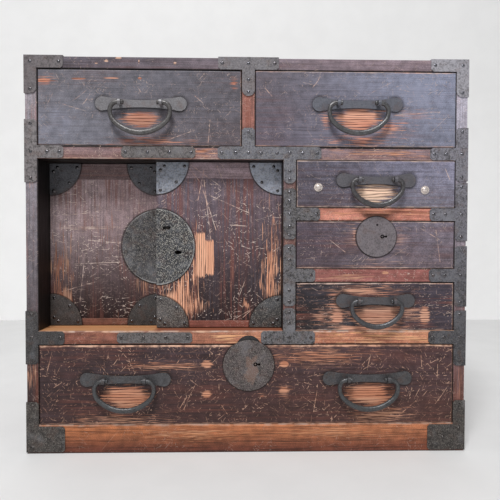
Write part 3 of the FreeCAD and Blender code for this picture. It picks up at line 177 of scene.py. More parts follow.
def specks(tree, cell, radius, share, seed):
    """Small chips, one in each Voronoi cell that has one."""
    away, chance = tree.cells(cell, seed)
    _, green, blue = tree.parts(chance)
    reach = tree.times(blue, radius)
    chip = tree.ramp(tree.math("SUBTRACT", tree.vector("LENGTH", away), reach), 0.2, -0.2)
    return tree.times(chip, tree.math("LESS_THAN", green, share))


# How firmly a marked place holds to its outline, and where its mask starts and is full. Marked
# places are worn places and patches of painted sheen and of painted shade.
FORMS = {
    "soft": (0.5, -0.02, 0.16),
    "box": (1.6, -0.02, 0.14),  # rectangle
    "stripes": (0.14, 0.04, 0.14),  # worn along the grain lines only
    "brushed": (0.17, 0.02, 0.22),  # the same, finer
    "faint": (0.17, 0.02, 0.55),  # the same, hardly worn
    "cloud": (0.45, 0.0, 0.7),  # fades out
    "halo": (1.0, 0.0, 0.4),  # fades out sooner
}


def patch(tree, spot, ragged):
    """Mask of one marked place that breaks up into the grain at its edge; worn places and patches
    of painted sheen and of painted shade all use it.

    A spot is x, z, half width, half height and, unless it is soft, its form.
    """
    x, z, half_x, half_z, form = (*spot, "soft")[:5]
    scale = (1 / half_x, 0, 1 / half_z)
    offset = (-x / half_x, 0, -z / half_z)
    way = tree.vector("MULTIPLY_ADD", tree.place, scale, offset)
    if form == "box":
        parts = tree.parts(tree.vector("ABSOLUTE", way))
        far = tree.math("MAXIMUM", parts[0], parts[2])
    else:
        far = tree.vector("LENGTH", way)
    firm, low, high = FORMS[form]
    cover = tree.scaled(far, -firm, firm)
    return tree.ramp(tree.math("ADD", cover, ragged), low, high)


def bores(tree, holes):
    """Mask of sharp-edged holes, each x, z, half width and half height."""
    return most(tree, [patch(tree, hole + ("box",), 0.0) for hole in holes])


def flat_way(tree, x, z):
    """Way from a point of the front, with no depth."""
    return tree.vector("MULTIPLY", tree.vector("SUBTRACT", tree.place, (x, 0, z)), (1, 0, 1))


CUT_WIDTHS = (0.55, 0.2)  # mm off a long scratch's line: none, and full


def cut(tree, line):
    """Mask of one long scratch between two points, x and z of each."""
    x0, z0, x1, z1 = line
    way = Vector((x1 - x0, 0, z1 - z0))
    start = flat_way(tree, x0, z0)
    along = tree.vector("DOT_PRODUCT", start, tuple(way / way.length_squared))
    along = tree.math("MINIMUM", tree.math("MAXIMUM", along, 0.0), 1.0)
    near = tree.vector("MULTIPLY", tuple(way), along)
    far = tree.vector("LENGTH", tree.vector("SUBTRACT", start, near))
    return tree.ramp(far, *CUT_WIDTHS)


def ring(tree, circle, outer, inner):
    """Mask of a thin line round a circle of x, z and radius, from outer to inner mm off it."""
    x, z, radius = circle
    far = tree.vector("LENGTH", flat_way(tree, x, z))
    far = tree.math("ABSOLUTE", tree.math("SUBTRACT", far, radius))
    return tree.ramp(far, outer, inner)


def most(tree, masks):
    """The strongest of several masks."""
    total = masks[0]
    for mask in masks[1:]:
        total = tree.math("MAXIMUM", total, mask)
    return total


def box_of(node):
    """Lowest and highest corner of a node, mm."""
    return [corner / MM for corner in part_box(node)]


def look_of(defaults, given):
    """A look with its defaults filled in."""
    return SimpleNamespace(**{**defaults, **given})


def corner_tones(tree, node, tones):
    """Colour over a node's front that runs between its corners' tones: TL, TR, BL and BR.

    One tone, three numbers, stands for all four, and two tones for the top and the foot. Lighter,
    bluer tops and upper right corners are partly painted sheen.
    """
    if len(tones) == 3:
        tones = (tones,) * 4
    elif len(tones) == 2:
        top, foot = tones
        tones = (top, top, foot, foot)
    low, high = box_of(node)
    top_left, top_right, low_left, low_right = tones
    across = tree.ramp(tree.x, low.x, high.x)
    up = tree.ramp(tree.z, low.z, high.z)
    top = tree.mix(across, top_left, top_right)
    bottom = tree.mix(across, low_left, low_right)
    return tree.mix(up, bottom, top)


# ---- wood
GRAIN = {"x": 0, "y": 1, "z": 2}
BARE = (212, 146, 114)
BARE_DARK = (96, 52, 40)
WORN_RED = (142, 84, 70)
SCRATCH = (196, 172, 160)
# Bluish dust and painted sheen: paler, bluer lacquer standing in for reflected light.
DUST_AND_SHEEN = (150, 152, 172)
RAW = (170, 134, 102)  # never lacquered: backs and inner faces
SHADE = (0.004, 0.003, 0.003, 1)  # near black, linear: dark grain and mottle, and painted shade in gaps, holes and round irons
# Painted shade: a dark line on the wood round an iron's edge.
SHADE_RING_BAND = (2.2, 0.4)  # mm off an iron's edge: none, and full
WOOD_GLOSS = 0.3  # specular level
WOOD_RELIEF = 0.18  # mm
# Strengths run from 0 to 1. The tones flank, rim and inside are those away from the front face,
# and bare, red and scratch those under the lacquer. Dark rim and inside tones are painted shade.
WOOD_DEFAULTS = {
    "bare": BARE, "red": WORN_RED, "scratch": SCRATCH, "flank": None, "rim": None,
    "inside": None, "inner_x": None, "inside_right": None, "split": 0.0,
    "worn": 0.3, "haze": 0.3, "marks": 0.5, "fibre": 0.35, "streaks": 0.45, "crowd": 0.15,
    "figure": (3.0, 16),  # width and length of the growth lines
    "lean": (1, 1, 1),
    "shallow": False,  # worn places only on the front edge
    "spots": (), "faded": (), "stains": (), "holes": (), "cuts": (), "grime": (),
    "edges": (), "seams": (),
}
FINE_FORMS = ("brushed", "faint")  # these follow the finer grain


def grain_noise(tree, grain, size, long, seed, detail=2.0):
    """Noise drawn out along the grain; long is its length in widths.

    Each layer of a finish adds its own number to the finish's seed.
    """
    stretch = [1, 1, 1]
    stretch[GRAIN[grain]] = long
    return tree.noise(size, stretch, seed, detail)


def bare_wood(tree, look, seed):
    """Scrubbed bare wood: tan, with dark wavy growth lines along the grain."""
    size, long = look.figure
    rings = grain_noise(tree, look.grain, size * 4, long / 2, seed + 11, 2.0)
    across = tree.x if look.grain == "z" else tree.z
    lines = tree.scaled(rings, 3.0, tree.times(across, 1 / size))
    lines = tree.ramp(tree.math("PINGPONG", lines, 0.5), 0.24, 0.06)
    broken = tree.ramp(grain_noise(tree, look.grain, 2.0, 10, seed + 14), 0.35, 0.6, 0.4, 0.95)
    fibre = grain_noise(tree, look.grain, 0.7, 40, seed + 12, 3.0)
    pale = tree.mix(0.2, look.bare, (1, 0.8, 0.6, 1))
    colour = tree.mix(tree.ramp(rings, 0.35, 0.65), look.bare, pale)
    colour = tree.mix(tree.times(lines, broken), colour, BARE_DARK)
    return tree.mix(tree.ramp(fibre, 0.42, 0.7, 0.0, 0.45), colour, BARE_DARK)


def lacquer(tree, node, look, seed):
    """Old dark lacquer: fine grain, faint streaks, a bluish cast of dust and painted sheen, and
    redder thin places.
    """
    tone = corner_tones(tree, node, look.tones)
    if look.flank:
        tone = tree.mix(tree.ramp(tree.y, FRONT + 1, FRONT + 9), tone, look.flank)
    fibre = grain_noise(tree, look.grain, 0.8, 60, seed, 4.0)
    streak = grain_noise(tree, look.grain, 2.6, 36, seed + 1, 3.0)
    cloud = grain_noise(tree, look.grain, 34, 2.2, seed + 2)
    grit = tree.noise(0.9, seed=seed + 8)
    blotch = tree.noise(8, seed=seed + 16, detail=4.0)
    bright = tree.scaled(streak, look.streaks, 1 - look.streaks / 2)
    bright = tree.times(bright, tree.scaled(grit, 1.5, 0.25))
    bright = tree.times(bright, tree.scaled(blotch, 1.3, 0.35))
    shade = tree.vector("MULTIPLY", tone, bright)
    colour = tree.mix(tree.ramp(fibre, 0.52, 0.36, 0.0, look.fibre), shade, SHADE)
    # Paler bluish clouds along the streaks: dust and painted sheen.
    light = tree.mix(0.4, tone, DUST_AND_SHEEN)
    dusty_sheen = tree.times(tree.ramp(cloud, 0.45, 0.75), tree.ramp(streak, 0.4, 0.62))
    colour = tree.mix(tree.times(dusty_sheen, look.haze), colour, light)
    thin = tree.times(tree.ramp(cloud, 0.56, 0.34), tree.ramp(streak, 0.56, 0.4))
    return tree.mix(tree.times(thin, look.worn), colour, look.red)


def edge_lines(tree, node, edges, ragged):
    """Masks of lines along edges: each is an axis, a place or side, a width and a strength."""
    low, high = box_of(node)
    masks = []
    for axis, place, width, strength in edges:
        at = {"low": getattr(low, axis), "high": getattr(high, axis)}.get(place, place)
        far = tree.math("ABSOLUTE", tree.math("SUBTRACT", getattr(tree, axis), at))
        far = tree.math("ADD", far, tree.times(ragged, width * 3))
        masks.append(tree.ramp(far, width * 1.3, width * 0.6, 0.0, strength))
    return masks


def handling_marks(tree, look, seed):
    """Scratches and chips, crowded in some places, and their colour."""
    crowd = tree.noise(26, seed=seed + 6, detail=3.0)
    crowded = tree.ramp(crowd, 0.42, 0.62, look.crowd, 1.0)
    fine = most(tree, [scratches(tree, 4, 0.36, 2.8, 0.75, seed, look.lean),
                       scratches(tree, 9, 0.34, 7.5, 0.8, seed + 7, look.lean),
                       specks(tree, 2.1, 0.6, 0.75, seed + 1)])
    long = scratches(tree, 34, 0.36, 22, 0.4, seed + 2, look.lean)
    faint = tree.ramp(tree.noise(4, seed=seed + 9), 0.36, 0.64, 0.15, 1.0)
    marks = tree.math("MAXIMUM", tree.times(fine, crowded), long)
    marks = tree.times(marks, faint, look.marks)
    if look.cuts:
        deep = most(tree, [cut(tree, line) for line in look.cuts])
        faint = tree.times(faint, 0.8)
        marks = tree.math("MAXIMUM", marks, tree.times(deep, faint))
    pale = tree.ramp(crowd, 0.4, 0.6, 0.6, 1.0)
    return marks, tree.mix(pale, look.bare, look.scratch)


def inner_faces(tree, look, colour):
    """Colour that turns to the inside tone behind the front edge; a dark inside tone is painted
    shade.
    """
    depth = tree.ramp(tree.y, FRONT + 0.6, FRONT + 2.6)
    if look.inner_x:
        inner = tree.ramp(tree.math("ABSOLUTE", tree.x), look.inner_x + 1, look.inner_x)
        depth = tree.times(depth, inner)
    tone = look.inside
    if look.inside_right:
        beyond = tree.ramp(tree.x, look.split - 4, look.split + 4)
        tone = tree.mix(beyond, tone, look.inside_right)
    return tree.mix(depth, colour, tone)


def wood(node, given, seed):
    """Lacquered, worn wood for one CAD node."""
    look = look_of(WOOD_DEFAULTS, given)
    tree = Tree(node)
    ragged = tree.centred(grain_noise(tree, look.grain, 1.3, 18, seed + 5, 5.0))
    colour = lacquer(tree, node, look, seed)
    # Soft paler, bluer patches of dust and painted sheen.
    if look.faded:
        cloud = tree.centred(tree.noise(14, seed=seed + 13, detail=4.0))
        far = most(tree, [patch(tree, spot, cloud) for spot in look.faded])
        far = tree.times(far, tree.ramp(ragged, -0.12, 0.12, 0.15, 0.55))
        colour = tree.mix(far, colour, DUST_AND_SHEEN)
    streak = grain_noise(tree, look.grain, 1.3, 22, seed + 3, 3.0)
    where = grain_noise(tree, look.grain, 26, 2, seed + 4)
    masks = [tree.times(tree.ramp(streak, 0.58, 0.66),
                       tree.ramp(where, 0.66 - 0.2 * look.worn, 0.8, 0.0, look.worn * 1.5))]
    brushed = tree.centred(grain_noise(tree, look.grain, 0.8, 24, seed + 15, 4.0))
    spots = [patch(tree, spot, brushed if spot[-1] in FINE_FORMS else ragged)
             for spot in look.spots]
    if look.shallow:
        front = tree.ramp(tree.y, FRONT + 2, FRONT + 0.8)
        spots = [tree.times(spot, front) for spot in spots]
    worn = tree.math("MINIMUM", most(tree, masks + spots), 1.0)
    colour = tree.mix(worn, colour, bare_wood(tree, look, seed))
    # Dark lines along edges: board joints on the back, elsewhere painted shade in the gaps round
    # drawers and doors.
    if look.seams:
        dark = most(tree, edge_lines(tree, node, look.seams, 0.0))
        colour = tree.mix(dark, colour, SHADE)
    marks, mark_colour = handling_marks(tree, look, seed)
    marks = tree.times(marks, tree.ramp(worn, 0.0, 0.6, 1.0, 0.2))
    if look.edges:
        rubbed = most(tree, edge_lines(tree, node, look.edges, ragged))
        broken = tree.ramp(tree.noise(7, seed=seed + 10, detail=3.0), 0.36, 0.62, 0.25, 1.0)
        marks = tree.math("MAXIMUM", marks, tree.times(rubbed, broken))
    colour = tree.mix(marks, colour, mark_colour)
    # Painted shade in a thin ring round the irons' edges.
    if look.grime:
        painted_shade = most(tree, [ring(tree, circle, *SHADE_RING_BAND) for circle in look.grime])
        colour = tree.mix(tree.times(painted_shade, 0.75), colour, SHADE)
    # Painted shade: soft dark patches, such as halos round the pull plates and a wall's shadow.
    if look.stains:
        painted_shade = most(tree, [patch(tree, spot, 0.0) for spot in look.stains])
        colour = tree.mix(tree.times(painted_shade, 0.6), colour, SHADE)
    # Painted shade inside the keyholes.
    if look.holes:
        colour = tree.mix(bores(tree, look.holes), colour, SHADE)
    # Inner faces behind the front edge: a dark inside tone there is painted shade.
    if look.inside:
        colour = inner_faces(tree, look, colour)
    # Side faces of a drawer front in its gaps: the dark rim tone is painted shade; the back face is
    # raw wood.
    if look.rim:
        low, high = box_of(node)
        colour = tree.mix(tree.ramp(tree.y, low.y + 0.7, low.y + 1.8), colour, look.rim)
        colour = tree.mix(tree.ramp(tree.y, high.y - 0.6, high.y - 0.2), colour, RAW)
    relief = grain_noise(tree, look.grain, 0.9, 45, seed, 3.0)
    lost = tree.times(tree.math("MAXIMUM", worn, marks), 0.8)
    rough = tree.scaled(worn, 0.25, tree.ramp(streak, 0.3, 0.7, 0.42, 0.56))
    tree.shader.inputs["Specular IOR Level"].default_value = WOOD_GLOSS
    return tree.finish(colour, rough, tree.math("SUBTRACT", relief, lost), WOOD_RELIEF)


# ---- iron
# Paler bluish clouds on the irons: painted sheen.
IRON_SHEEN_MOTTLE = (150, 154, 162)
RUST = (96, 66, 52)
PALE_RIM = (176, 176, 176)
RIM_BAND = (1.1, 0.3)  # mm off a plate's rim: none, and full
IRON_RELIEF = 0.35  # mm
IRON_DEFAULTS = {"speckle": 0.35, "speckle_tone": (150, 145, 138), "spots": (),
                 "spot_tone": (128, 100, 88), "rust": 0.25, "mottle": 0.5, "rims": (),
                 "gloss": (0.6, 0.42), "metal": 0.25, "holes": (), "openings": ()}


def iron(name, node, given, seed):
    """Hand-forged lacquered iron: mottled, speckled where the lacquer is off, slightly rusted."""
    look = look_of(IRON_DEFAULTS, given)
    tree = Tree(name)
    tone = corner_tones(tree, node, look.tones)
    cloud = tree.noise(16, seed=seed, detail=3.0)
    grain = tree.noise(1.8, seed=seed + 1, detail=4.0, rough=0.7)
    speck = tree.noise(0.95, seed=seed + 2, detail=2.0, rough=0.7)
    colour = tree.mix(tree.ramp(grain, 0.56, 0.36, 0.0, look.mottle), tone, SHADE)
    dull = tree.ramp(tree.noise(6, seed=seed + 5, detail=4.0), 0.5, 0.34, 0.0, look.mottle * 0.6)
    colour = tree.mix(dull, colour, SHADE)
    # Paler, bluer clouds in the mottle: painted sheen.
    light = tree.mix(0.25, tone, IRON_SHEEN_MOTTLE)
    colour = tree.mix(tree.ramp(cloud, 0.5, 0.75, 0.0, look.mottle), colour, light)
    rust = tree.ramp(tree.noise(9, seed=seed + 3, detail=4.0), 0.52, 0.7, 0.0, look.rust)
    colour = tree.mix(rust, colour, RUST)
    if look.spots:
        ragged = tree.centred(tree.noise(5, seed=seed + 4, detail=3.0))
        far = most(tree, [patch(tree, spot, ragged) for spot in look.spots])
        colour = tree.mix(tree.times(far, 0.6), colour, look.spot_tone)
    flecks = tree.ramp(speck, 0.54, 0.62, 0.0, look.speckle)
    colour = tree.mix(flecks, colour, look.speckle_tone)
    # A pale line round the half plate's rim, broken up at random.
    if look.rims:
        rim = most(tree, [ring(tree, circle, *RIM_BAND) for circle in look.rims])
        rim = tree.times(rim, tree.ramp(cloud, 0.4, 0.6, 0.15, 0.6))
        colour = tree.mix(rim, colour, PALE_RIM)
    front = box_of(node)[0].y
    # Painted shade on the walls of the holes behind the plate's face.
    if look.holes:
        deep = tree.ramp(tree.y, front + 0.15, front + 0.3)
        deep = tree.times(bores(tree, look.holes), deep)
        colour = tree.mix(deep, colour, SHADE)
    # Painted shade: openings drawn dark and larger on the face, with less specular so that no
    # reflection lightens them.
    if look.openings:
        open_part = bores(tree, look.openings)
        colour = tree.mix(open_part, colour, SHADE)
        tree.plug(tree.shader.inputs["Specular IOR Level"],
                  tree.scaled(open_part, -0.5, 0.5))
    tree.shader.inputs["Metallic"].default_value = look.metal
    relief = tree.scaled(speck, 0.4, tree.math("ADD", grain, cloud))
    rough = tree.ramp(cloud, 0.3, 0.7, *look.gloss)
    return tree.finish(colour, rough, relief, IRON_RELIEF)


# ---- what each node wears
# Painted shade: dark tones for inner faces and for the drawer fronts' side faces in the gaps.
INSIDE_SHADE = (30, 20, 18)
RIM_SHADE = (36, 24, 21)
FLANK = (108, 92, 94)  # lacquer of the top and the outer sides, back from the front
# Painted shade in the gaps along the shelves and posts.
SHELF_GAP_SHADE = (("z", "high", 0.9, 0.85), ("z", "low", 0.9, 0.85))
POST_GAP_SHADE = (("x", "low", 0.8, 0.85), ("x", "high", 0.8, 0.85))
SMALL_LOCK_CIRCLE = (141.2, 239.1, 22)
WIDE_LOCK_CIRCLE = (0.9, 97.0, 28)
HALF_PLATES_CIRCLE = (-103.1, 227, 43)
HALF_PLATES_RIM = (-103.1, 227, 42.3)
# Boxes painted near black as shade in holes and openings.
DOOR_SLOT = (-91.6, 248.5, 4.4, 1.9)
DOOR_BOLT_WAY = (-91.6, 248.5, 3.6, 1.9)
DOOR_KEY_OPENING = (-78.6, 221, 3.4, 1.8)


def keyhole_at(x, z):
    """Boxes round a keyhole that lies on its side."""
    return (x + 1.4, z, 4.4, 2.6), (x + 4.2, z, 1.6, 1.6)


DOOR_KEYHOLE = keyhole_at(-80.1, 221.0)
SMALL_KEYHOLE = keyhole_at(147.8, 239.3)
WIDE_KEYHOLE = keyhole_at(8.3, 98.1)


def pull_plate_shade(x, z, half):
    """Painted shade in a soft halo round a pull plate: its two lobes and its bar."""
    return ((x - half + 8.5, z, 13, 12.5, "halo"), (x + half - 8.5, z, 13, 12.5, "halo"),
            (x, z - 2, half * 0.95, 9, "halo"))


def door_corners(left, right):
    """Circles of a door's four quarter irons."""
    return tuple((x, z, 36) for x in (left, right) for z in (135.8, 322.4))


REAR_CORNERS = door_corners(-228.2, -103.1)
FRONT_CORNERS = door_corners(-103.1, 37.9)
STRIPES = (2.2, 90)  # straight close growth lines of the doors' boards
LEVEL = (1, 1, 3.5)  # scratches that run mostly across
FRONT_DOOR_HEAD_CUTS = (  # on the board and on its upper end board
    (-66.6, 316, -50.8, 295.9), (-64.3, 319.4, -31.7, 296), (-35.1, 318.5, -24.9, 293.8),
    (-49.7, 313.9, -56.5, 280.1))
TOP_DRAWER = dict(grain="x", rim=RIM_SHADE, marks=0.6, streaks=0.25, crowd=0.05, fibre=0.2)
SMALL_SHELF = dict(grain="x", haze=0.1, marks=0.9, streaks=0.6, crowd=0.5, inside=INSIDE_SHADE,
                   seams=SHELF_GAP_SHADE)
DIVIDER = dict(grain="z", inside=INSIDE_SHADE, seams=POST_GAP_SHADE)
SIDE = dict(grain="z", flank=FLANK, red=(150, 78, 52), inner_x=228.6)
DOOR = dict(grain="z", figure=STRIPES, marks=1.0, streaks=0.5, crowd=0.3,
            scratch=(224, 204, 192))
DOOR_ENDS = dict(grain="x", worn=0.2, haze=0.2, streaks=0.3)
HIDDEN = dict(worn=0.1, marks=0.2, haze=0.1)
# Lighter, bluer tones on the upper fronts are partly painted sheen.
WOODS = {
    "drawer_top_left_front": dict(
        TOP_DRAWER, tones=((103, 101, 109), (91, 88, 96), (116, 116, 126), (90, 83, 89)),
        haze=0.25, worn=0.08, bare=(184, 114, 92),
        spots=((-117, 366, 22, 9), (-222, 407, 7, 3), (-184, 409, 8, 1.2), (-148, 410, 9, 1.0),
               (-118, 410, 2, 1.4), (-107, 342, 44, 6, "brushed"), (-16, 406, 4, 7, "brushed"),
               (-222, 407, 12, 6, "brushed")),
        cuts=((-200.8, 381.7, -176.1, 374.4), (-178.2, 383, -171.7, 392.7),
              (-85.5, 344.9, -58.3, 354.8), (-121.1, 401.8, -116.8, 395.4),
              (-58.3, 391.6, -49.6, 384.1), (-42, 365.8, -44.1, 338.7)),
        faded=((-208, 362, 34, 26, "cloud"),), stains=pull_plate_shade(-116.6, 382.6, 49.5),
        edges=(("z", "low", 1.0, 0.6), ("x", "high", 0.9, 0.9))),
    "drawer_top_right_front": dict(
        TOP_DRAWER, tones=((96, 90, 99), (134, 138, 158), (98, 90, 101), (122, 124, 141)),
        haze=0.5, worn=0.1, bare=(228, 156, 130),
        spots=((121, 368, 28, 13), (180, 373, 30, 8, "faint"),
               (158, 358, 20, 10, "brushed"), (122, 344, 34, 8, "brushed"),
               (84, 368, 6, 10, "brushed")),
        cuts=((79, 419, 76.3, 409.8), (76.3, 409.8, 70, 401.6), (17.9, 400.7, 25.5, 392.1),
              (160.7, 372.6, 210.5, 376.3), (149.8, 356.2, 168.5, 360.7)),
        faded=((190, 395, 44, 24, "cloud"),), stains=pull_plate_shade(119.3, 383.4, 49.5),
        edges=(("z", "low", 1.2, 0.7), ("z", "high", 1.2, 0.9))),
    "drawer_small_upper_front": dict(
        grain="x", rim=RIM_SHADE, tones=((88, 84, 96), (134, 132, 152), (82, 76, 86), (122, 120, 134)),
        haze=0.5, worn=0.1, marks=0.4, spots=((140.6, 287, 23, 12),), bare=(255, 217, 190),
        cuts=((139.1, 314.6, 145.8, 305.9), (216.7, 315, 222.5, 301.9)), streaks=0.8,
        stains=pull_plate_shade(140.4, 301, 43.7), crowd=0.05,
        edges=(("z", "high", 0.9, 0.8), ("z", "low", 1.2, 0.8), ("x", "low", 1.0, 0.6))),
    "drawer_small_middle_front": dict(
        grain="x", rim=RIM_SHADE, tones=((86, 76, 86), (116, 108, 120), (80, 66, 72), (110, 98, 106)),
        haze=0.4, worn=0.2, marks=0.7, streaks=0.7, crowd=0.2, holes=SMALL_KEYHOLE,
        spots=((115, 237, 11, 24, "faint"), (117, 240, 3, 12, "brushed"),
               (168, 236, 9, 20, "faint"), (149, 208, 30, 10, "faint"),
               (142, 205, 18, 4, "brushed"), (88, 203, 40, 3, "brushed")),
        bare=(206, 158, 142),
        cuts=((189.9, 248.9, 212.4, 235.7), (207.8, 246.7, 212.7, 211.3),
              (90.1, 235.4, 106.8, 222.2)),
        grime=(SMALL_LOCK_CIRCLE,),
        edges=(("z", "high", 0.9, 0.7), ("z", "low", 1.2, 0.8))),
    "drawer_small_lower_front": dict(
        grain="x", rim=RIM_SHADE, tones=((42, 36, 41), (68, 60, 70), (40, 34, 36), (64, 55, 63)),
        haze=0.2, worn=0.9, marks=1.0, figure=(2.6, 18), crowd=0.4, bare=(210, 148, 122),
        lean=LEVEL, stains=pull_plate_shade(140.9, 168.2, 43.8),
        spots=((142, 151, 30, 13), (196, 152, 6, 11), (132, 178, 46, 8, "brushed"),
               (98, 158, 14, 24, "brushed"), (99, 150, 7, 8), (133, 137, 44, 4),
               (176, 157, 14, 13, "brushed"), (120, 180, 16, 1.6), (80, 150, 10, 12, "brushed")),
        edges=(("z", "high", 1.2, 0.9), ("z", "low", 1.2, 0.9), ("x", "high", 1.2, 0.8))),
    "drawer_wide_front": dict(
        grain="x", rim=RIM_SHADE, tones=((62, 45, 47), (78, 56, 58), (60, 41, 41), (76, 50, 46)),
        haze=0.1, worn=0.25, marks=1.0, scratch=(214, 172, 148), streaks=0.3, crowd=0.35,
        spots=((-133, 62, 28, 13), (136, 64, 29, 14), (-45, 98, 6.5, 4.5), (-45, 65, 6, 4.2),
               (40, 98, 5.5, 4.2), (40, 69, 5.5, 4.2), (-140, 37, 48, 8, "brushed"),
               (147, 40, 38, 12, "brushed"), (80, 107, 60, 12, "brushed"),
               (-90, 96, 50, 5, "brushed"),
               (40, 68, 8, 9, "brushed"), (15.6, 62, 5, 4, "brushed"), (150, 40, 22, 4, "stripes")),
        stains=pull_plate_shade(-134, 82.5, 49.6) + pull_plate_shade(132.2, 82.5, 49.6), holes=WIDE_KEYHOLE,
        cuts=((187.3, 56.4, 165.1, 37.4), (-219.7, 90.2, -214.2, 112.2),
              (192.5, 108.1, 193.6, 94.7), (136.4, 108.5, 132.4, 92.5), (182.9, 71, 180.2, 62),
              (-80.2, 96.3, -72.5, 107.4), (-74.7, 49.8, -68.1, 60.8)),
        grime=(WIDE_LOCK_CIRCLE,), bare=(204, 136, 104),
        edges=(("z", "high", 1.9, 1.0), ("z", "low", 0.9, 0.7), ("x", "high", 0.7, 0.7))),
    "top_board": dict(
        grain="x", tones=((86, 78, 86), (138, 122, 130), (86, 78, 86), (132, 116, 124)),
        haze=0.4, worn=0.15, streaks=0.3, crowd=0.05, seams=(("z", "low", 1.0, 0.9),),
        flank=FLANK, shallow=True,
        spots=((-154, 428.5, 2, 1.4), (-141, 432, 4, 1.2), (-119, 428, 0.8, 2.4),
               (-80, 427, 2, 1.6), (-165, 426, 2, 1)), bare=(206, 166, 146)),
    "shelf_upper": dict(
        grain="x", tones=((136, 112, 114), (140, 120, 126), (128, 98, 94), (134, 109, 111)),
        haze=0.4, worn=0.5, marks=1.0, inside=INSIDE_SHADE, streaks=0.5, crowd=0.4,
        cuts=((-82.2, 326.5, -74.6, 335.2), (-78.9, 336.3, -70.3, 325.5),
              (-68.1, 324.4, -57.2, 333.1)),
        edges=(("z", "low", 1.0, 0.8),), seams=(("z", "high", 2.0, 0.95),),
        spots=((-52, 330, 16, 8, "brushed"), (150, 331, 60, 5, "brushed"))),
    "shelf_lower": dict(
        grain="x", tones=((134, 84, 70), (216, 150, 118), (124, 74, 60), (208, 140, 108)),
        haze=0.1, worn=0.8, inside=(192, 140, 98), inside_right=(140, 84, 62),
        split=-103.1, bare=(238, 174, 126), streaks=0.4,
        edges=(("z", "high", 1.6, 1.0),), seams=(("z", "low", 1.1, 0.9),),
        spots=((-20, 128, 20, 7, "stripes"), (150, 128, 70, 8, "stripes"))),
    "small_shelf_upper": dict(
        SMALL_SHELF, tones=(206, 136, 118), worn=0.7, spots=((140, 266, 70, 6, "brushed"),),
        # Painted shade on the rail above the small lock.
        stains=((141.2, 262, 19, 3.2, "halo"),)),
    "small_shelf_lower": dict(
        SMALL_SHELF, tones=(150, 94, 88), worn=0.5,
        spots=((152, 199, 4, 2), (110, 194, 30, 4, "brushed"))),
    "divider_top": dict(DIVIDER, tones=(146, 98, 88), worn=0.6),
    "divider_middle": dict(DIVIDER, tones=(110, 82, 78), worn=0.4),
    "base_rail": dict(
        grain="x", tones=((184, 114, 74), (194, 122, 84), (98, 52, 40), (108, 60, 46)),
        haze=0.0, worn=0.4, marks=0.4, bare=(206, 134, 88), fibre=0.6, red=(150, 84, 56),
        edges=(("z", "high", 2.2, 0.6),), seams=(("z", "high", 0.7, 0.8), ("z", "low", 1.2, 0.6)),
        spots=((-60, 21, 60, 8, "brushed"), (90, 22, 70, 8, "brushed"))),
    "side_left": dict(
        # The compartment's left wall gets a darker inside tone as painted shade.
        SIDE, tones=((150, 144, 152), (44, 18, 14)), inside=(18, 13, 13),
        seams=(("x", -228.6, 0.9, 0.85),),
        spots=((-236, 86, 4, 12, "brushed"), (-236, 304, 4, 12, "brushed"))),
    "side_right": dict(
        SIDE, tones=((176, 172, 186), (98, 52, 36)), inside=INSIDE_SHADE,
        seams=(("x", 228.6, 0.9, 0.85),), spots=((236, 78, 5, 24, "faint"),)),
    "rear_door_board": dict(
        DOOR, tones=((167, 147, 150), (153, 130, 133), (34, 12, 10), (38, 14, 12)),
        haze=0.1, worn=0.65, lean=LEVEL, bare=(144, 92, 71), red=(122, 78, 70),
        spots=((-219, 200, 14, 44, "stripes"), (-211, 164, 10, 18),
               (-118, 186, 10, 16, "stripes"), (-186, 248.3, 42, 4.4, "faint")),
        # Painted shadow of the compartment's left wall on the rear door.
        stains=((-228, 290, 30, 76, "cloud"),),
        cuts=((-225, 248.3, -174.5, 248.4), (-200, 247, -160, 248), (-196, 249.4, -150, 249.8),
              (-217.5, 174.1, -177.1, 185.8), (-200, 206.7, -148.2, 209.1),
              (-210, 263.4, -182.5, 265.8), (-184.9, 234.5, -148.1, 231.1),
              (-194.5, 164.8, -188.5, 217.1)),
        grime=REAR_CORNERS + (HALF_PLATES_CIRCLE,)),
    "front_door_board": dict(
        DOOR, tones=((104, 93, 103), (106, 91, 99), (44, 28, 29), (40, 25, 26)),
        haze=0.25, worn=0.6, bare=(238, 170, 136), red=(122, 74, 66), holes=DOOR_KEYHOLE,
        spots=((-53.6, 218, 5.1, 26, "box"), (-43.4, 215, 5.1, 20, "box"), (-82, 158, 18, 22),
               (-74, 172, 20, 34, "stripes"), (-60, 200, 5, 36, "stripes"),
               (26, 192, 11, 56, "stripes"), (0, 161, 5, 5, "stripes"),
               (31, 206, 3, 40, "stripes")),
        cuts=FRONT_DOOR_HEAD_CUTS + (
            (-41.8, 284.7, 1.2, 265.6), (-50.8, 291.4, -36.1, 246.3), (-49.7, 302.6, -40.6, 223.6),
            (-20.3, 252, -2.2, 250.9), (-13.3, 146.3, 4.9, 156.6)),
        grime=FRONT_CORNERS + (HALF_PLATES_CIRCLE,)),
    # The upper end board's darker tone is painted shade under the rail above the doors.
    "rear_door_ends": dict(
        DOOR_ENDS, tones=((110, 91, 92), (127, 84, 70)), marks=0.4, grime=REAR_CORNERS),
    "front_door_ends": dict(
        DOOR_ENDS, tones=((152, 133, 140), (156, 136, 143), (134, 80, 68), (134, 80, 68)),
        marks=0.7, grime=FRONT_CORNERS, cuts=FRONT_DOOR_HEAD_CUTS),
    "back_boards": dict(
        grain="z", tones=((138, 114, 92), (126, 104, 84), (116, 92, 72), (130, 104, 82)),
        marks=0.4, haze=0.25, red=(120, 86, 64), streaks=0.6,
        seams=(("x", -78.2, 0.7, 0.85), ("x", 78.2, 0.7, 0.85))),
    "bottom_board": dict(HIDDEN, grain="x", tones=(112, 92, 84)),
    "drawer_runners": dict(HIDDEN, grain="y", tones=(132, 104, 84)),
}
BOX_LOOK = dict(grain="y", tones=(172, 136, 104), worn=0.15, marks=0.15, haze=0.1,
                red=(140, 96, 66), bare=(196, 156, 118))

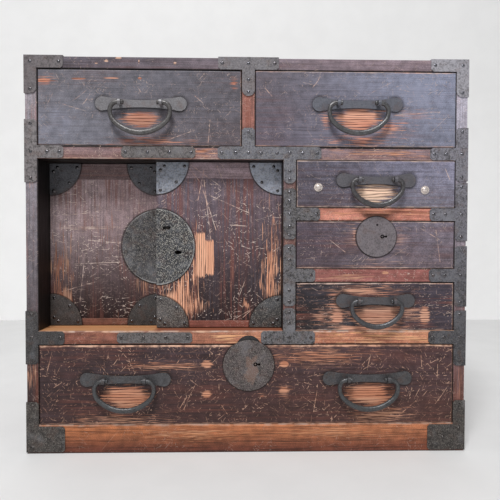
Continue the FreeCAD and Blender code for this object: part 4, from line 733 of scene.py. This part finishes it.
PULL_PLATES = dict(speckle=0.1, mottle=0.2, gloss=(0.48, 0.34))
# Lighter, bluer tones on the upper irons and pull plates are partly painted sheen.
IRONS = {
    "corner_irons_top": dict(tones=((108, 101, 104), (166, 164, 172)) * 2, speckle=0.25),
    "corner_irons_bottom": dict(tones=(74, 68, 65), speckle=0.45, mottle=0.8),
    "strap_top_centre": dict(tones=(116, 112, 117)),
    "tee_irons_left": dict(tones=((132, 126, 128), (60, 58, 60)), mottle=0.7),
    "tee_irons_right": dict(tones=((136, 134, 144), (76, 75, 80)), mottle=0.7),
    "strap_junction": dict(tones=(116, 116, 124), speckle=0.5, mottle=0.6),
    "divider_straps": dict(tones=(106, 104, 109), speckle=0.6, mottle=0.85),
    "rail_straps": dict(tones=(106, 101, 102), speckle=0.5, mottle=0.7),
    "rear_door_irons": dict(
        tones=((90, 90, 97), (92, 92, 99), (72, 65, 63), (60, 57, 57)), speckle=0.25),
    "front_door_irons": dict(
        tones=((150, 156, 170), (170, 176, 192), (82, 75, 72), (60, 58, 58)), speckle=0.6,
        speckle_tone=(168, 162, 154)),
    "rear_door_half_plate": dict(
        tones=(74, 72, 75), speckle=0.7, mottle=0.9, rims=(HALF_PLATES_RIM,)),
    "front_door_lock": dict(
        tones=(66, 67, 73), speckle=1.0, mottle=1.0, speckle_tone=(176, 172, 164),
        rims=(HALF_PLATES_RIM,), holes=DOOR_KEYHOLE + (DOOR_BOLT_WAY,),
        openings=(DOOR_SLOT, DOOR_KEY_OPENING)),
    "small_drawer_lock": dict(
        tones=(122, 114, 119), speckle=0.3, mottle=0.4, holes=SMALL_KEYHOLE,
        openings=((142.0, 252.1, 1.0, 1.0),)),
    "wide_drawer_lock": dict(
        tones=(94, 84, 84), speckle=0.6, mottle=0.8, spots=((4, 92, 8, 16),),
        holes=WIDE_KEYHOLE),
    # Near black as painted shade: the strike plates sit in shadow under the lock discs.
    "strike_plates": dict(tones=(44, 42, 44), speckle=0.15),
    "front_door_bolt": dict(tones=(24, 23, 24), speckle=0.0),
    "small_drawer_bolt": dict(tones=(60, 58, 60)),
    "wide_drawer_bolt": dict(tones=(60, 58, 60)),
    "pull_plates_top_left": dict(PULL_PLATES, tones=(122, 120, 124)),
    "pull_plates_top_right": dict(PULL_PLATES, tones=(102, 104, 114)),
    "pull_plates_small_upper": dict(PULL_PLATES, tones=(98, 96, 102)),
    "pull_plates_small_lower": dict(PULL_PLATES, tones=(84, 82, 86)),
    "pull_plates_wide": dict(PULL_PLATES, tones=(76, 75, 78), speckle=0.15, mottle=0.4),
    "small_upper_studs": dict(
        tones=(244, 231, 224), speckle=0.3, rust=0.15, mottle=0.45, metal=0.55,
        speckle_tone=(240, 234, 228), gloss=(0.36, 0.22)),
}
NAIL_LOOK = dict(tones=((104, 102, 106), (128, 128, 136), (88, 84, 82), (88, 84, 82)),
                 speckle=0.0, mottle=0.3, metal=0.95, gloss=(0.28, 0.2))
DOOR_NAIL_LOOK = dict(NAIL_LOOK, tones=(96, 94, 96), mottle=0.2, gloss=(0.24, 0.18))
BOX_SEED = 40  # first seeds of the finishes outside the two tables
NAIL_SEED = 60
DOOR_NAIL_SEED = 62
BAIL_SEED = 70


def wear(thing, material):
    """Gives an object one material."""
    thing.data.materials.clear()
    thing.data.materials.append(material)


def dress_nodes():
    """Every CAD node gets its own wood or iron."""
    for seed, (node, given) in enumerate(WOODS.items()):
        wear(NODES[node], wood(node, given, seed))
    for seed, node in enumerate(sorted(name for name in NODES if name.endswith("_box"))):
        wear(NODES[node], wood(node, BOX_LOOK, BOX_SEED + seed))
    for seed, (node, given) in enumerate(IRONS.items()):
        wear(NODES[node], iron(node, node, given, seed))


# ---- smooth, eased CAD meshes
WELD = 0.01  # mm
SHARP_ANGLE = 40  # degrees
WOOD_ARRIS = 0.5  # mm
IRON_ARRIS = 0.22  # mm


def smoothing_group():
    """Geometry nodes: welds split vertices, drops old normals and shades smooth up to an angle."""
    group = bpy.data.node_groups.new("shade_by_angle", "GeometryNodeTree")
    for way in ("INPUT", "OUTPUT"):
        group.interface.new_socket("Geometry", in_out=way, socket_type="NodeSocketGeometry")
    new = group.nodes.new
    start = new("NodeGroupInput")
    end = new("NodeGroupOutput")
    bare = new("GeometryNodeRemoveAttribute")
    bare.inputs["Name"].default_value = "custom_normal"
    weld = new("GeometryNodeMergeByDistance")
    weld.inputs["Distance"].default_value = WELD * MM
    smooth = new("GeometryNodeSetShadeSmooth")
    smooth.domain = "FACE"
    angle = new("GeometryNodeInputMeshEdgeAngle")
    sharp = new("FunctionNodeCompare")
    sharp.data_type = "FLOAT"
    sharp.operation = "GREATER_THAN"
    sharp.inputs[1].default_value = radians(SHARP_ANGLE)
    crease = new("GeometryNodeSetShadeSmooth")
    crease.domain = "EDGE"
    crease.inputs["Shade Smooth"].default_value = False
    join = group.links.new
    chain = (start, bare, weld, smooth, crease, end)
    for before, after in zip(chain, chain[1:]):
        join(before.outputs[0], after.inputs[0])
    join(angle.outputs["Unsigned Angle"], sharp.inputs[0])
    join(sharp.outputs[0], crease.inputs["Selection"])
    return group


SMOOTHING = smoothing_group()


def ease(thing, width):
    """Rounds an object's arrises by width mm and shades it by angle."""
    thing.modifiers.new("weld", "NODES").node_group = SMOOTHING
    if width:
        bevel = thing.modifiers.new("arris", "BEVEL")
        bevel.width = width * MM
        bevel.segments = 2
        bevel.limit_method = "ANGLE"
        bevel.angle_limit = radians(SHARP_ANGLE)
        thing.modifiers.new("shade", "NODES").node_group = SMOOTHING
    normals = thing.modifiers.new("normals", "WEIGHTED_NORMAL")
    normals.keep_sharp = True


def ease_nodes():
    """Wood arrises are worn rounder than iron ones, and the domed studs have none."""
    for name, node in NODES.items():
        if name in WOODS or name.endswith("_box"):
            ease(node, WOOD_ARRIS)
        elif name == "small_upper_studs":
            ease(node, 0)
        else:
            ease(node, IRON_ARRIS)


# ---- nails
NAIL_RADIUS = 1.9
NAIL_HEIGHT = 0.8
NAIL_SIZE = 3.4  # no nail's box is larger than this
NAIL_SIDES = 12
NAIL_RINGS = 3


def islands(node):
    """A CAD node's mesh and its separate solids, each as face indices and corner places."""
    mesh = bmesh.new()
    mesh.from_mesh(NODES[node].data)
    bmesh.ops.remove_doubles(mesh, verts=mesh.verts, dist=WELD * MM)
    mesh.faces.ensure_lookup_table()
    waiting = set(mesh.faces)
    groups = []
    while waiting:
        stack = [waiting.pop()]
        faces = []
        while stack:
            face = stack.pop()
            faces.append(face)
            near = {other for edge in face.edges for other in edge.link_faces} & waiting
            waiting -= near
            stack += near
        places = {vert.co.copy().freeze() for face in faces for vert in face.verts}
        groups.append((sorted(face.index for face in faces), sorted(places, key=tuple)))
    return mesh, sorted(groups)


def nail_of(places):
    """The foot and the way of a nail from its solid's corners, or None for a bigger solid."""
    low = Vector(min(place[axis] for place in places) for axis in range(3))
    high = Vector(max(place[axis] for place in places) for axis in range(3))
    size = high - low
    if max(size) > NAIL_SIZE * MM:
        return None
    axis = min(range(3), key=lambda each: size[each])
    middle = (low + high) / 2
    way = Vector((0, 0, 0))
    way[axis] = -1 if axis == 1 or (axis == 0 and middle.x < 0) else 1
    middle[axis] = low[axis] if way[axis] > 0 else high[axis]
    return middle, way


def dome(mesh, foot, way):
    """Adds one hammered nail head, a closed dome on a flat foot."""
    across = way.orthogonal().normalized()
    up = way.cross(across)
    turns = [2 * pi * side / NAIL_SIDES for side in range(NAIL_SIDES)]
    rings = []
    for level in range(NAIL_RINGS):
        rise = pi / 2 * level / NAIL_RINGS
        radius = NAIL_RADIUS * MM * cos(rise)
        centre = foot + way * NAIL_HEIGHT * MM * sin(rise)
        rings.append([mesh.verts.new(centre + across * radius * cos(turn) + up * radius * sin(turn))
                      for turn in turns])
    tip = mesh.verts.new(foot + way * NAIL_HEIGHT * MM)
    for side in range(NAIL_SIDES):
        for below, above in zip(rings, rings[1:]):
            mesh.faces.new((below[side - 1], below[side], above[side], above[side - 1]))
        mesh.faces.new((rings[-1][side - 1], rings[-1][side], tip))
    mesh.faces.new(rings[0][::-1])


def show(name, data):
    """Adds an object to the scene."""
    thing = bpy.data.objects.new(name, data)
    bpy.context.scene.collection.objects.link(thing)
    return thing


def add_piece(name, mesh, body):
    """Makes an object of a bmesh and rides it on a body."""
    data = bpy.data.meshes.new(name)
    bmesh.ops.recalc_face_normals(mesh, faces=mesh.faces)
    mesh.to_mesh(data)
    mesh.free()
    piece = show(name, data)
    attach(piece, body)
    return piece


def nails(name, node, body):
    """Domed heads in place of a node's plain nails; returns the heads and what is left."""
    source, groups = islands(node)
    heads = bmesh.new()
    nail_faces = []
    for indices, places in groups:
        found = nail_of(places)
        if found:
            dome(heads, *found)
            nail_faces += indices
    bmesh.ops.delete(source, geom=[source.faces[index] for index in nail_faces], context="FACES")
    piece = add_piece(name, heads, body)
    ease(piece, 0)
    return piece, source


def dress_nails():
    """Nails of the case's irons and of the doors' corner irons."""
    heads, rest = nails("frame_nail_heads", "frame_nails", "case")
    rest.free()
    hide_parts("frame_nails")
    finish = iron("nail_heads", "frame_nails", NAIL_LOOK, NAIL_SEED)
    wear(heads, finish)
    wear(NODES["frame_nails"], finish)
    for door in ("rear", "front"):
        node = f"{door}_door_irons"
        body = f"door_{door}"
        heads, plates = nails(f"{door}_door_nail_heads", node, body)
        corners = add_piece(f"{door}_door_corner_irons", plates, body)
        ease(corners, IRON_ARRIS)
        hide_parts(node)
        wear(heads, iron(f"{door}_door_nails", node, DOOR_NAIL_LOOK, DOOR_NAIL_SEED))
        wear(corners, NODES[node].data.materials[0])


# ---- bails
BAIL_KNOB_RADIUS = 2.6
BAIL_KNOB_LENGTH = 3.0
BAIL_JOURNAL_RADIUS = 1.9
BAIL_SIDE_RADIUS = 2.4
BAIL_FOOT_RADIUS = 3.1
BAIL_EYE_RUN = 3.8  # journal between the knob and the shoulder
BAIL_SIDE_RUN = 1.5
BAIL_SHOULDER_HALF = 2.3
BAIL_NECK = 0.4  # from the shoulder to the journal's full length
BAIL_SWELL = 0.35  # share of the half bar before it thickens
BAIL_SIDES = 16
SHOULDER_STEPS = 6
BEND_STEPS = 8
SEAT = 0.02  # how far the bar stays inside the CAD bail's depth
# How far along an end knob, as a share of its length, and its radius as a share of the largest
KNOB = ((0.0, 0.02), (0.12, 0.62), (0.3, 0.9), (0.55, 1.0), (0.8, 0.9), (1.0, 0.74))
LARGE_BAIL = SimpleNamespace(spacing=44.0, bend=18.0)
SMALL_BAIL = SimpleNamespace(spacing=39.4, bend=15.5)
BAILS = {  # size and tone; the upper bails' lighter tones are partly painted sheen
    "bail_top_left": (LARGE_BAIL, (100, 98, 98)), "bail_top_right": (LARGE_BAIL, (98, 98, 100)),
    "bail_wide_left": (LARGE_BAIL, (84, 85, 87)), "bail_wide_right": (LARGE_BAIL, (84, 85, 87)),
    "bail_small_upper": (SMALL_BAIL, (90, 88, 90)), "bail_small_lower": (SMALL_BAIL, (88, 88, 91)),
}
BAIL_LOOK = dict(speckle=0.08, rust=0.1, mottle=0.35, metal=0.6, gloss=(0.42, 0.3))


def arc_points(centre, start, end, count):
    """Points along the shorter arc about centre from start to end, without the first."""
    first = start - centre
    turn = first.angle_signed(end - centre)
    points = []
    for step in range(1, count + 1):
        way = first.copy()
        way.rotate(Matrix.Rotation(-turn * step / count, 2))
        points.append(centre + way)
    return points


def bail_half(width, drop, size):
    """Half of a bail's centre line from its inner end to its foot, with the bar's radii."""
    start = size.spacing / 2 + BAIL_EYE_RUN / 2
    half = width / 2 - BAIL_SIDE_RADIUS
    low = drop - BAIL_FOOT_RADIUS
    bend = size.bend - BAIL_SIDE_RADIUS
    shoulder = half - start
    side_z = -width / 2 + start - BAIL_SIDE_RUN + BAIL_SHOULDER_HALF
    across = half - bend
    below = low + side_z
    foot = (across ** 2 + below ** 2 - bend ** 2) / (2 * (below - bend))
    share = bend / (foot - bend)
    touch = Vector((across * (1 + share), side_z + (below - foot) * share))
    inner = start - BAIL_EYE_RUN - BAIL_KNOB_LENGTH
    line = [(Vector((inner + BAIL_KNOB_LENGTH * along, 0)), BAIL_KNOB_RADIUS * part)
            for along, part in KNOB]
    line.append((Vector((start - BAIL_NECK, 0)), BAIL_JOURNAL_RADIUS))
    curve = [Vector((start, 0))]
    side = Vector((half, -shoulder))
    curve += arc_points(Vector((start, -shoulder)), curve[-1], side, SHOULDER_STEPS)
    curve.append(Vector((half, side_z)))
    curve += arc_points(Vector((across, side_z)), curve[-1], touch, BEND_STEPS)
    curve += arc_points(Vector((0, foot - low)), touch, Vector((0, -low)), BEND_STEPS)
    for index, point in enumerate(curve):
        share = max(0.0, (index / (len(curve) - 1) - BAIL_SWELL) / (1 - BAIL_SWELL))
        ease_in = share * share * (3 - 2 * share)
        line.append((point, BAIL_SIDE_RADIUS + (BAIL_FOOT_RADIUS - BAIL_SIDE_RADIUS) * ease_in))
    return line


def forged_bail(node, size):
    """Round forged bar on the CAD bail's own centre line, thick at its foot, with end knobs."""
    low, high = box_of(node)
    width = high.x - low.x
    axis_z = high.z - BAIL_KNOB_RADIUS
    half = bail_half(width, axis_z - low.z, size)
    middle = Vector(((low.x + high.x) / 2, (low.y + high.y) / 2, axis_z))
    depth = (high.y - low.y) / 2
    line = [(Vector((-point.x, point.y)), radius) for point, radius in half]
    line += half[-2::-1]
    mesh = bmesh.new()
    rings = []
    for index, (point, radius) in enumerate(line):
        before = line[max(index - 1, 0)][0]
        after = line[min(index + 1, len(line) - 1)][0]
        way = (after - before).normalized()
        side = Vector((-way.y, way.x))
        hoop = []
        for turn in range(BAIL_SIDES):
            angle = 2 * pi * turn / BAIL_SIDES
            x, z = point + side * (radius * cos(angle))
            y = min(radius, depth - SEAT) * sin(angle)
            hoop.append(mesh.verts.new((middle + Vector((x, y, z))) * MM))
        rings.append(hoop)
    for first, second in zip(rings, rings[1:]):
        for turn in range(BAIL_SIDES):
            mesh.faces.new((first[turn - 1], first[turn], second[turn], second[turn - 1]))
    mesh.faces.new(rings[0])
    mesh.faces.new(rings[-1][::-1])
    piece = add_piece(node + "_forged", mesh, node + "_body")
    ease(piece, 0)
    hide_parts(node)
    return piece


def dress_bails():
    """All six bails share one look but not one seed."""
    for seed, (node, (size, tone)) in enumerate(BAILS.items()):
        finish = iron(node, node, dict(BAIL_LOOK, tones=tone), BAIL_SEED + seed)
        wear(forged_bail(node, size), finish)
        wear(NODES[node], finish)


# ---- stage, lamp, camera, in metres and degrees
WALL_Y = 0.745
STAGE_HALF = 3.0
FLOOR_TONE = (225, 225, 225)
# The wall's tone falls from foot to top: painted shade.
WALL_FOOT_TONE = (255, 255, 255)
WALL_TOP_TONE = (236, 236, 236)
LAMP_PLACE = (-0.3, -1.35, 2.1)
LAMP_TARGET = (0, -0.1, 0.2)
LAMP_SIZE = 0.6
LAMP_POWER = 45  # watts
SKY_STRENGTH = 0.38
CAMERA_PLACE = (-0.01088, -0.70061, 0.23711)
CAMERA_TURN = (88.648, -0.153, -1.342)
SENSOR = 36  # mm
LENS = 36  # mm


def paper(name, low_tone, high_tone):
    """Matt studio paper, from its tone at the floor to its tone at a metre up; on the wall this
    fall in tone is painted shade.

    It is clear from its back, so a wall doesn't hide the chest from a camera behind it.
    """
    tree = Tree(name)
    back = tree.nodes.new("ShaderNodeNewGeometry").outputs["Backfacing"]
    tree.plug(tree.shader.inputs["Alpha"], tree.math("SUBTRACT", 1.0, back))
    grain = tree.noise(60, detail=3.0)
    # Tone by height: on the wall, painted shade.
    tone = tree.mix(tree.ramp(tree.z, 100, 900), low_tone, high_tone)
    colour = tree.mix(tree.ramp(grain, 0.3, 0.7, 0.0, 0.03), tone, SHADE)
    return tree.finish(colour, 0.8, grain, 0.05)


def add_sheet(name, near, far, *tones):
    """One flat sheet of the stage between two lines along x, each given by its y and z."""
    half = STAGE_HALF
    corners = [(-half, *near), (half, *near), (half, *far), (-half, *far)]
    data = bpy.data.meshes.new(name)
    data.from_pydata(corners, [], [range(len(corners))])
    sheet = show(name, data)
    wear(sheet, paper(name, *tones))


def add_stage():
    """Pale floor and wall."""
    add_sheet("floor", (-STAGE_HALF, 0), (WALL_Y, 0), FLOOR_TONE, FLOOR_TONE)
    add_sheet("wall", (WALL_Y, 0), (WALL_Y, STAGE_HALF), WALL_FOOT_TONE, WALL_TOP_TONE)


def add_light():
    """Level soft light, a little stronger from above left."""
    data = bpy.data.lights.new("key", "AREA")
    data.size = LAMP_SIZE
    data.energy = LAMP_POWER
    lamp = show("key", data)
    lamp.location = LAMP_PLACE
    way = Vector(LAMP_TARGET) - Vector(LAMP_PLACE)
    lamp.rotation_euler = way.to_track_quat("-Z", "Y").to_euler()
    world = bpy.data.worlds.new("studio")
    world.use_nodes = True
    background = world.node_tree.nodes["Background"]
    background.inputs["Color"].default_value = (1, 1, 1, 1)
    background.inputs["Strength"].default_value = SKY_STRENGTH
    bpy.context.scene.world = world


def add_camera():
    """The photograph's viewpoint."""
    data = bpy.data.cameras.new("camera")
    data.sensor_width = SENSOR
    data.lens = LENS
    camera = show("camera", data)
    camera.location = CAMERA_PLACE
    camera.rotation_euler = [radians(turn) for turn in CAMERA_TURN]
    bpy.context.scene.camera = camera
    bpy.context.scene.view_settings.view_transform = "Standard"


# ---- the scene
dress_nodes()
ease_nodes()
dress_nails()
dress_bails()
add_stage()
add_light()
add_camera()
